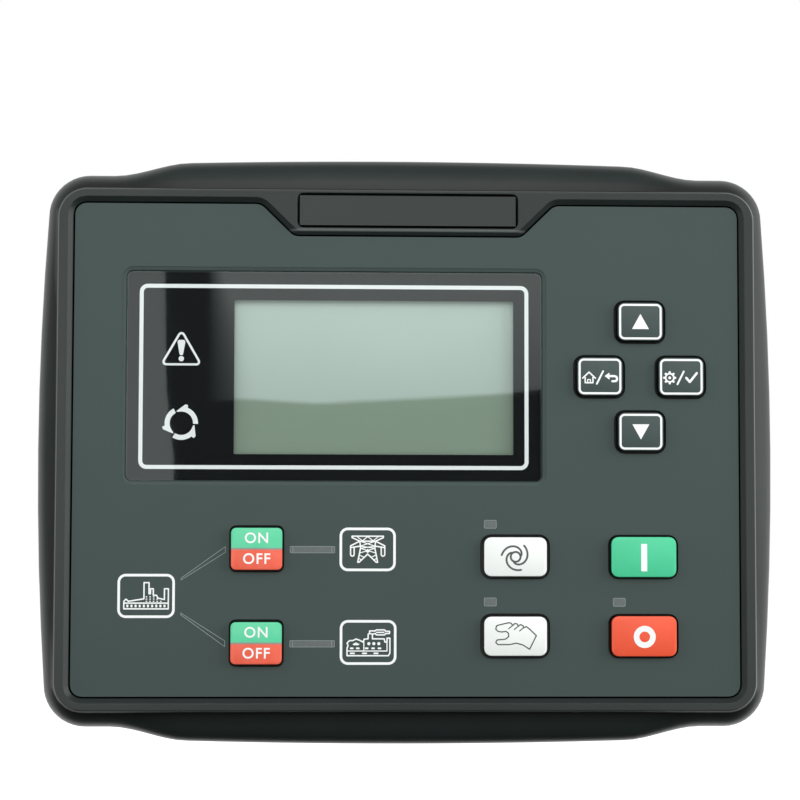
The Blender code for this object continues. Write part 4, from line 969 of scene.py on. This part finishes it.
class CONTROLLER_OT_key_prints(Operator):
    """Print the keys: frames and signs, rotor, hand, bar, ring, and the plain words ON and OFF."""
    bl_idname = "controller.key_prints"
    bl_label = "Print the keys"

    def execute(self, context):
        signs = (triangle_sign(1), triangle_sign(-1), home_sign(), confirm_sign())
        for key, sign in zip(NAV_KEYS, signs):
            art = Artwork(middle_of(key))
            width, height = size_of_cap(key)
            art.frame(width - KEY_FRAME_INSET, height - KEY_FRAME_INSET, KEY_FRAME_CORNER,
                      KEY_FRAME_LINE)
            art.shapes += sign.shapes
            print_on_key(art, key, ink_finish)
        print_on_key(rotor_sign(middle_of("key_auto")), "key_auto", dark_ink_finish)
        print_on_key(hand_sign(middle_of("key_manual")), "key_manual", dark_ink_finish)
        bar = rounded(width=1.7, height=7.7, radius=0.08, centre=(0.05, -0.15), steps=2)
        print_on_key(Artwork(middle_of("key_start")).fill(bar), "key_start", ink_finish)
        ring = [circle(radius, centre=(0.1, -0.15), steps=48) for radius in (3.1, 1.5)]
        print_on_key(Artwork(middle_of("key_stop")).fill(*ring), "key_stop", ink_finish)
        for key in BREAKER_KEYS:
            x, z = middle_of(key)
            for text, side in (("ON", 1), ("OFF", -1)):
                word(f"{key}_{text.lower()}", text, (x, z + side * LETTER_HEIGHT),
                     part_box(key)[0].y, key)
        return {"FINISHED"}


def word(name, text, centre, front, body):
    """Set one plain word in upright lettering on a key."""
    thickness = sizes().ink_thickness
    curve = bpy.data.curves.new(name, "FONT")
    curve.body = text
    curve.size = LETTER_HEIGHT / CAPITAL_SHARE
    curve.align_x = "CENTER"
    curve.align_y = "CENTER"
    curve.extrude = thickness / 2
    curve.offset = 0.00006
    curve.space_character = 1.12
    curve.resolution_u = 5
    curve.materials.append(made(ink_finish))
    item = bpy.data.objects.new(name, curve)
    bpy.context.scene.collection.objects.link(item)
    item.rotation_euler.x = math.pi / 2
    item.location = (centre[0], front - thickness / 2, centre[1])
    bpy.context.view_layer.update()
    evaluated = item.evaluated_get(bpy.context.evaluated_depsgraph_get())
    solid = bpy.data.objects.new(name, bpy.data.meshes.new_from_object(evaluated))
    solid.matrix_world = item.matrix_world.copy()
    bpy.data.objects.remove(item, do_unlink=True)
    bpy.context.scene.collection.objects.link(solid)
    solid.name = name
    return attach(solid, body)


def size_of_cap(key):
    """Return a key cap's width and height in millimetres, read at its front face."""
    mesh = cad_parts[key].data
    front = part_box(key)[0].y
    cap = [vertex.co for vertex in mesh.vertices if vertex.co.y < front + CAP_DEPTH]
    width = max(point.x for point in cap) - min(point.x for point in cap)
    height = max(point.z for point in cap) - min(point.z for point in cap)
    return width / MILLIMETRE, height / MILLIMETRE


def triangle_sign(way):
    """Draw a filled arrow head, pointing up (1) or down (-1)."""
    return Artwork().fill([(-2.4, -2.1 * way), (2.4, -2.1 * way), (0.0, 2.2 * way)])


def home_sign():
    """Draw a house, a stroke and a return arrow."""
    art = Artwork()
    art.stroke([(-4.9, -0.5), (-3.1, 1.2), (-1.3, -0.5)], 0.40)
    art.stroke([(-4.2, -0.3), (-4.2, -1.8), (-2.0, -1.8), (-2.0, -0.3)], 0.38)
    art.stroke([(-3.5, -1.8), (-3.5, -0.9), (-2.7, -0.9), (-2.7, -1.8)], 0.28)
    art.stroke([(-0.9, -2.1), (0.9, 1.5)], 0.50)
    art.fill([(1.3, 0.1), (2.7, 1.1), (2.7, -0.9)])
    art.stroke([(2.5, 0.1), (4.1, 0.1)] + arc(0.75, 90.0, -60.0, (4.1, -0.65), 8)
               + [(3.5, -1.35)], 0.62)
    return art


def confirm_sign():
    """Draw a cog wheel, a stroke and a tick."""
    art = Artwork()
    hub = (-3.3, -0.3)
    teeth = []
    for tooth in range(8):
        turn = 45.0 * tooth
        teeth += arc(1.85, turn - 8.0, turn + 8.0, hub, 2)
        teeth += arc(1.38, turn + 15.0, turn + 30.0, hub, 2)
    art.fill(teeth, circle(0.95, hub, 16))
    art.fill(circle(0.42, hub, 12))
    art.stroke([(-1.1, -2.1), (0.7, 1.5)], 0.52)
    art.stroke([(1.4, -0.3), (2.4, -1.45), (4.4, 1.05)], 0.66)
    return art


def rotor_sign(centre):
    """Draw a small ring with three curved arms for the automatic mode."""
    art = Artwork(centre)
    art.stroke(circle(1.38, steps=36), ROTOR_LINE, closed=True)
    for turn in (128.0, 248.0, 8.0):
        path = []
        for step in range(15):
            share = step / 14
            radius = 1.45 + 2.5 * share ** 0.8
            path += arc(radius, turn + 165.0 * share, 0.0, steps=1)[:1]
        art.stroke(path, ROTOR_LINE)
    return art


def hand_sign(centre):
    """Draw the outline of a reaching hand for the manual mode."""
    art = Artwork(centre)
    fingers = [(-5.6, 2.0), (-5.4, 2.9), (-4.6, 3.2), (-1.9, 3.8), (-1.2, 3.6), (-0.9, 3.0),
               (-0.2, 3.6), (0.5, 3.4), (0.7, 2.8), (1.4, 3.3), (2.1, 2.9), (2.2, 2.4), (3.0, 2.7),
               (3.7, 2.2)]
    palm = [(5.8, 0.2), (3.9, -3.6), (2.0, -2.4), (0.2, -1.9), (-1.8, -2.3), (-5.0, -2.3),
            (-5.6, -1.7), (-5.2, -1.0), (-2.9, -0.8), (-2.0, -0.1), (-2.0, 0.8), (-2.7, 1.4),
            (-3.9, 1.2), (-5.0, 1.4)]
    art.stroke(fingers + palm, 0.34, closed=True)
    for knuckle in ((-0.9, 3.0), (0.7, 2.8), (2.2, 2.4)):
        art.stroke([knuckle, (knuckle[0] - 1.1, knuckle[1] - 0.9)], 0.30)
    return art


class CONTROLLER_OT_pictograms(Operator):
    """Print the framed pictograms of the load, the mains and the genset on the film."""
    bl_idname = "controller.pictograms"
    bl_label = "Print the pictograms"

    def execute(self, context):
        line = sizes().ink_line / MILLIMETRE
        fine = sizes().fine_line / MILLIMETRE
        drawings = (
            ("load_pictogram", factory_sign, (-0.0730, -0.0413), 16.0, 12.3),
            ("mains_pictogram", pylon_sign, (-0.0111, -0.0282), 15.8, 12.2),
            ("genset_pictogram", genset_sign, (-0.0109, -0.0542), 15.9, 12.5),
        )
        for name, draw, place, width, height in drawings:
            art = draw(place, fine)
            art.frame(width, height, LINE_CORNER, line)
            print_on_film(art, name, ink_finish)
        return {"FINISHED"}


def factory_sign(centre, fine):
    """Draw a works building with three chimneys and a row of windows."""
    art = Artwork(centre)
    outline = [(-6.2, -3.6), (6.2, -3.6), (6.2, 2.0), (5.1, 2.0), (5.1, -1.0), (3.3, -0.6),
               (2.9, 0.2), (2.0, 0.2), (2.0, 2.0), (1.2, 2.0), (1.2, 0.6), (0.8, 0.6), (0.8, 3.7),
               (-0.6, 3.7), (-0.6, -0.8), (-4.9, -1.5), (-5.6, -0.9), (-6.2, -1.5)]
    art.stroke(outline, fine, closed=True)
    art.stroke([(-6.0, -2.0), (6.0, -2.0)], fine)
    for window in range(10):
        art.fill(rounded(0.55, 0.75, 0.05, (-5.2 + 1.15 * window, -2.8), 1))
    for row in range(3):
        level = -1.5 + 0.62 * row
        for place in range(5 - row):
            art.fill(rounded(0.42, 0.30, 0.04, (0.1 + 1.0 * place, level), 1))
    return art


def pylon_sign(centre, fine):
    """Draw a lattice pylon with two cross arms and hanging insulators."""
    art = Artwork(centre)
    art.stroke([(-4.4, 3.7), (4.4, 3.7), (4.4, 3.3), (2.2, 2.3), (-2.2, 2.3), (-4.4, 3.3)], fine,
               closed=True)
    art.mirrored_strokes([
        [(2.2, 2.3), (4.8, 1.0), (4.8, 0.5), (2.2, 0.9)],
        [(2.2, 2.3), (2.0, 0.4), (2.8, -3.6), (2.4, -3.6), (0.0, -1.3)],
        [(4.8, 0.5), (4.8, -1.4)] + arc(0.5, 0.0, -180.0, (4.3, -1.4), 8) + [(3.8, 0.6)],
    ], fine)
    art.mirrored_strokes([
        [(-2.2, 2.3), (2.1, 0.9)],
        [(-2.1, 0.9), (2.1, 0.3)],
        [(-2.0, 0.3), (2.2, -1.0)],
        [(2.9, 3.5), (1.5, 2.4), (0.0, 3.6)],
        [(2.3, -1.6), (1.0, -2.2)],
        [(2.5, -2.5), (1.7, -3.0)],
    ], fine * 0.7)
    art.fill([(-0.75, -0.45), (0.0, -1.05), (0.75, -0.45), (0.0, 0.15)])
    return art


def genset_sign(centre, fine):
    """Draw an alternator, an engine with its silencer and a radiator on a base rail."""
    art = Artwork(centre)
    body = [(-5.9, -2.5), (-5.9, -1.6), (-5.6, -0.9), (-5.9, -0.2), (-5.2, 0.5), (-4.3, 0.5),
            (-3.4, 0.95), (-2.4, 0.6), (-1.5, 0.1), (-1.1, 0.9), (0.0, 1.0), (0.0, 2.3),
            (0.4, 2.5), (0.4, 3.2), (2.0, 3.2), (2.3, 3.5), (4.6, 3.5), (4.9, 3.1), (6.0, 3.1),
            (6.0, 2.5), (4.9, 2.5), (4.6, 2.1), (2.3, 2.1), (2.0, 2.5), (1.2, 2.3), (1.2, 1.0),
            (4.5, 1.0), (4.7, 0.1), (5.3, 0.1), (5.3, 1.2), (6.1, 1.2), (6.1, -3.0), (5.7, -3.7),
            (-5.9, -3.7)]
    art.stroke(body, fine, closed=True)
    art.stroke([(2.4, 2.8), (4.4, 2.8)], fine)
    art.stroke([(0.4, 2.5), (1.2, 2.3)], fine)
    art.stroke([(-5.6, -2.4), (5.3, -2.4), (5.3, 0.1)], fine * 0.8)
    art.stroke([(-1.2, 0.7), (-1.2, -2.3)], fine * 0.8)
    for place in (0.2, 1.6, 3.0):
        art.fill(circle(0.45, (place, -0.35), 14))
    art.fill([(-4.4, -0.5), (-3.4, 0.0), (-2.4, -0.5), (-2.8, -0.8), (-4.0, -0.8)])
    for place in (-4.6, -2.9, -0.4, 1.4, 3.2):
        art.fill(rounded(1.0, 0.5, 0.15, (place, -1.65), 2))
    for place in (-4.4, -1.0, 2.2):
        art.fill(rounded(1.4, 0.45, 0.15, (place, -3.05), 2))
    return art


class CONTROLLER_OT_lamp_windows(Operator):
    """Mark the unlit lamp windows and light bars in the film, with their thin light edges."""
    bl_idname = "controller.lamp_windows"
    bl_label = "Mark the lamps"

    def execute(self, context):
        windows = (("auto_lamp", 0.30), ("manual_lamp", 0.30), ("stop_lamp", 0.30),
                   ("mains_line_lamp", 0.10), ("genset_line_lamp", 0.10))
        for name, corner in windows:
            width, height = size_of(name)
            outline = rounded(width, height, corner)
            glass = Artwork(middle_of(name)).fill(outline)
            print_on_film(glass, f"{name}_window", window_finish)
            rim = Artwork(middle_of(name)).stroke(outline, RIM_LINE, closed=True)
            if name.endswith("line_lamp"):
                for side in (-1, 1):
                    x = side * (width / 2 - BAR_END)
                    rim.stroke([(x, -height / 2), (x, height / 2)], RIM_LINE)
            print_on_film(rim, f"{name}_edge", window_edge_finish, layer=2)
        for name in ("load_mains_lamp", "load_genset_lamp"):
            outline = max(front_loops(name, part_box(name)[0].y), key=size_loop)
            rim = Artwork().stroke([relative(point) for point in outline], 0.13, closed=True)
            print_on_film(rim, f"{name}_edge", window_edge_finish)
        return {"FINISHED"}


class CONTROLLER_OT_rear_fittings(Operator):
    """Cut the screws' drives and fit the plugs' clamp screws, cages and the socket's contacts."""
    bl_idname = "controller.rear_fittings"
    bl_label = "Fit the rear"

    def execute(self, context):
        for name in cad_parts:
            if name.startswith("housing_screw"):
                cut_drive(name, CROSS_DRIVE, 0.0012)
            elif name.startswith("clip_screw"):
                cut_drive(name, SLOT_DRIVE, 0.0010)
            elif name.startswith("terminal_plug"):
                fit_plug(name)
        x, z = middle_of("usb_socket")
        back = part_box("usb_socket")[1].y
        mesh = bmesh.new()
        for contact in range(4):
            add_box(mesh, (0.0007, 0.0050, 0.00006),
                    (x + CONTACT_PITCH * (contact - 1.5), back - 0.0052, z + 0.00143))
        add_piece("usb_contacts", mesh, made(gold_finish))
        return {"FINISHED"}


def add_rod(mesh, radius, place, front, back, segments=20):
    """Add a round bar along Y to a bmesh."""
    turn = Matrix.Rotation(math.pi / 2, 4, "X")
    middle = Matrix.Translation((place[0], (front + back) / 2, place[1]))
    bmesh.ops.create_cone(mesh, cap_ends=True, segments=segments, radius1=radius, radius2=radius,
                          depth=back - front, matrix=middle @ turn)


def add_box(mesh, size, centre):
    """Add a box to a bmesh."""
    place = Matrix.Translation(centre) @ Matrix.Diagonal((*size, 1.0))
    bmesh.ops.create_cube(mesh, size=1.0, matrix=place)


def cut_drive(name, slots, depth):
    """Cut a screw's drive into its head."""
    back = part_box(name)[1].y
    x, z = middle_of(name)
    for number, (width, height) in enumerate(slots, 1):
        mesh = bmesh.new()
        add_box(mesh, (width, 2 * depth, height), (x, back, z))
        cutter = new_object(f"{name}_drive_{number}", mesh)
        cutter.hide_render = True
        cutter.hide_viewport = True
        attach(cutter, BODY)
        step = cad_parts[name].modifiers.new(f"drive_{number}", "BOOLEAN")
        step.operation = "DIFFERENCE"
        step.solver = "EXACT"
        step.object = cutter


def fit_plug(name):
    """Fit one plug's clamp screws on its step and a cage in each wire entry."""
    low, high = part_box(name)
    outward = math.copysign(1.0, low.z + high.z)
    middle_x, middle_z = middle_of(name)
    z = (high.z if outward > 0 else low.z) - outward * SCREW_INSET
    step = high.y - PLUG_STEP
    screws = bmesh.new()
    cages = bmesh.new()
    for pole in range(POLES):
        x = middle_x + POLE_PITCH * (pole - (POLES - 1) / 2)
        add_rod(screws, SCREW_RADIUS, (x, z), step, step + 0.0002)
        for side in (-1, 1):
            add_box(screws, (0.0022, 0.0003, 0.00085), (x, step + 0.00035, z + side * 0.00065))
        add_box(cages, (0.0024, 0.0006, 0.0024),
                (x, high.y - CAGE_DEPTH, middle_z - outward * CAGE_INSET))
    add_piece(f"{name}_screws", screws, made(metal_finish))
    add_piece(f"{name}_cages", cages, made(metal_finish))


class CONTROLLER_OT_edges(Operator):
    """Keep the corners of the solids crisp and let light run smoothly over their round faces."""
    bl_idname = "controller.edges"
    bl_label = "Keep the edges"

    def execute(self, context):
        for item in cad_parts.values():
            split = item.modifiers.new("crisp_edges", "EDGE_SPLIT")
            split.split_angle = math.radians(32.0)
        return {"FINISHED"}


class CONTROLLER_OT_stage(Operator):
    """Set the camera, the pale floor, the soft lamps and the white surroundings."""
    bl_idname = "controller.stage"
    bl_label = "Set the stage"

    def execute(self, context):
        context.scene.view_settings.view_transform = "Standard"
        set_camera()
        set_world()
        set_floor()
        for lamp in LAMPS:
            add_lamp(*lamp)
        depth = FACE_Y - studio().distance
        below = studio().floor_z + 0.005
        # Name, corners and glow, from 0 for black to 1 for white
        cards = (
            ("landscape_card", facing(depth, LANDSCAPE), 0.0),
            ("sky_card", facing(depth - 0.002, oblong(-0.0925, 0.165, 0.045, 0.145)), sky_glow),
            ("pale_card_left", facing(depth - 0.004, oblong(-0.150, -0.095, -0.220, 0.160)), 0.88),
            ("dark_card_below", lying(below, oblong(-0.60, 0.60, -0.42, 0.03)), 0.0),
            ("dark_card_left", upright(-0.45, -0.27, 0.04), 0.01),
            ("dark_card_right", upright(0.45, -0.27, 0.04), 0.45),
            ("strip_left", upright(-0.45, -0.58, -0.29), 1.0),
            ("strip_right", upright(0.45, -0.58, -0.29), 1.0),
            ("dark_card_above", lying(0.42, oblong(-0.5, 0.5, -0.36, 0.03)), 0.03),
            ("grey_card_front", facing(depth, oblong(-0.5, 0.5, 0.148, 0.40)), 0.20),
        )
        for card in cards:
            add_card(*card)
        add_flag()
        return {"FINISHED"}


def set_camera():
    """Place the camera at the photograph's view."""
    stage = studio()
    data = bpy.data.cameras.new("studio_camera")
    data.lens = stage.lens
    data.sensor_width = 36.0
    data.clip_start = 0.01
    data.clip_end = 20.0
    item = bpy.data.objects.new("studio_camera", data)
    bpy.context.scene.collection.objects.link(item)
    yaw, pitch, roll = stage.yaw, stage.pitch, stage.roll
    ahead = Vector((math.sin(yaw) * math.cos(pitch), math.cos(yaw) * math.cos(pitch),
                    math.sin(pitch)))
    right = Vector((math.cos(yaw), -math.sin(yaw), 0.0))
    up = right.cross(ahead)
    across = math.cos(roll) * right + math.sin(roll) * up
    above = math.cos(roll) * up - math.sin(roll) * right
    turn = Matrix((across, above, -ahead)).transposed().to_4x4()
    place = Vector((stage.camera_x, FACE_Y - stage.distance, stage.camera_z))
    item.matrix_world = Matrix.Translation(place) @ turn
    bpy.context.scene.camera = item


def set_world():
    """Light from all sides, and pure white where the camera or a reflection looks."""
    world = bpy.data.worlds.new("studio_world")
    world.use_nodes = True
    bpy.context.scene.world = world
    nodes = Nodes(world.node_tree, "World Output")
    soft = world.node_tree.nodes["Background"]
    nodes.feed(soft.inputs["Color"], opaque((1.0, 1.0, 1.0)))
    nodes.feed(soft.inputs["Strength"], 0.70)
    white = nodes.add("ShaderNodeBackground", {}, {"Color": opaque((1.0, 1.0, 1.0))})
    nodes.mix_shaders(nodes.seen_rays(), soft.outputs[0], white)


def set_floor():
    """Lay a pale floor that keeps the part's shadow and reads as white."""
    surface = Surface("floor_finish")
    surface.set(Base_Color=(0.80, 0.80, 0.80), Roughness=0.9)
    plain = surface.shader.outputs["BSDF"]
    glow = surface.add("ShaderNodeEmission", {}, {"Strength": 0.45})
    lit = surface.add("ShaderNodeAddShader", {}, {0: plain, 1: glow})
    surface.mix_shaders(surface.seen_rays(), plain, lit)
    corners = lying(studio().floor_z, oblong(-6.0, 6.0, -6.0, 6.0))
    add_sheet("studio_floor", corners, surface, ("diffuse",))


def add_lamp(name, place, size, power):
    """Add a soft square lamp that looks at the part."""
    data = bpy.data.lights.new(name, "AREA")
    data.shape = "SQUARE"
    data.size = size
    data.energy = power
    item = bpy.data.objects.new(name, data)
    bpy.context.scene.collection.objects.link(item)
    item.location = place
    item.rotation_euler = (-Vector(place)).to_track_quat("-Z", "Y").to_euler()


def oblong(left, right, low, high):
    """Return a rectangle's corners."""
    return [(left, low), (right, low), (right, high), (left, high)]


def facing(depth, outline):
    """Stand an outline up in front of the part."""
    return [(x, depth, z) for x, z in outline]


def upright(side, front, back):
    """Return the corners of a tall card beside the part."""
    return [(side, front, -0.35), (side, front, 0.45), (side, back, 0.45), (side, back, -0.35)]


def lying(level, outline):
    """Lay an outline flat at a level."""
    return [(x, y, level) for x, y in outline]


def add_flag():
    """Hold black cloth under the floor, so that no soft light comes up below the part."""
    corners = lying(studio().floor_z - 0.010, oblong(-0.30, 0.30, -0.16, 0.16))
    surface = Surface("black_flag_finish")
    surface.set(Base_Color=(0.002, 0.002, 0.002), Roughness=1.0, Specular_IOR_Level=0.0)
    add_sheet("black_flag", corners, surface, ("camera", "glossy", "shadow"))


def sky_glow(surface):
    """Return the level of the grey light over the landscape that the display's cover mirrors."""
    across, _, up = surface.axes()
    rise = (up - SKY_FOOT) / SKY_HEIGHT
    start = ((across - SKY_LEFT) / (0.030 - rise * 0.022)).clamped()
    lamp = (1.0 - ((across - LAMP_IMAGE_X) / LAMP_IMAGE_REACH).magnitude()).clamped()
    return start * (0.62 + rise * 0.42 + lamp * rise * 0.55)


def add_card(name, corners, glow):
    """Set up a card that only reflections see, with a plain glow or one that varies."""
    surface = Surface(f"{name}_finish")
    if callable(glow):
        tone = surface.blend(glow(surface), (0.0, 0.0, 0.0), CARD_TINT)
    else:
        tone = shaded(CARD_TINT, glow)
    surface.set(Base_Color=(0.004, 0.004, 0.004), Roughness=1.0, Specular_IOR_Level=0.0,
                Emission_Color=tone, Emission_Strength=1.0)
    add_sheet(name, corners, surface, ("camera", "diffuse", "shadow"))


def add_sheet(name, corners, surface, hidden):
    """Put one flat sheet on the stage, hidden from some kinds of rays."""
    mesh = bmesh.new()
    mesh.faces.new([mesh.verts.new(corner) for corner in corners])
    item = new_object(name, mesh)
    item.data.materials.append(surface.material)
    for rays in hidden:
        setattr(item, f"visible_{rays}", False)


class CONTROLLER_PT_panel(Panel):
    """Sidebar panel with the settings and the steps."""
    bl_idname = "CONTROLLER_PT_panel"
    bl_label = "Genset controller"
    bl_space_type = "VIEW_3D"
    bl_region_type = "UI"
    bl_category = "Controller"

    def draw(self, context):
        column = self.layout.column()
        for group in (context.scene.controller_colours, context.scene.controller_sizes,
                      context.scene.controller_stage):
            for name in group.bl_rna.properties.keys():
                if name not in ("rna_type", "name"):
                    column.prop(group, name)
        for step in STEPS:
            column.operator(step.bl_idname)


STEPS = (
    CONTROLLER_OT_solids,
    CONTROLLER_OT_film,
    CONTROLLER_OT_display,
    CONTROLLER_OT_key_prints,
    CONTROLLER_OT_pictograms,
    CONTROLLER_OT_lamp_windows,
    CONTROLLER_OT_rear_fittings,
    CONTROLLER_OT_edges,
    CONTROLLER_OT_stage,
)
CLASSES = (ControllerColours, ControllerSizes, StageSizes, *STEPS, CONTROLLER_PT_panel)


def register():
    """Register the settings, the steps and the panel."""
    for item in CLASSES:
        bpy.utils.register_class(item)
    bpy.types.Scene.controller_colours = PointerProperty(type=ControllerColours)
    bpy.types.Scene.controller_sizes = PointerProperty(type=ControllerSizes)
    bpy.types.Scene.controller_stage = PointerProperty(type=StageSizes)


def unregister():
    """Remove what register added."""
    del bpy.types.Scene.controller_stage
    del bpy.types.Scene.controller_sizes
    del bpy.types.Scene.controller_colours
    for item in reversed(CLASSES):
        bpy.utils.unregister_class(item)


def main():
    """Run every step in order."""
    register()
    bpy.ops.controller.solids()
    bpy.ops.controller.film()
    bpy.ops.controller.display()
    bpy.ops.controller.key_prints()
    bpy.ops.controller.pictograms()
    bpy.ops.controller.lamp_windows()
    bpy.ops.controller.rear_fittings()
    bpy.ops.controller.edges()
    bpy.ops.controller.stage()


if __name__ == "__main__":
    main()
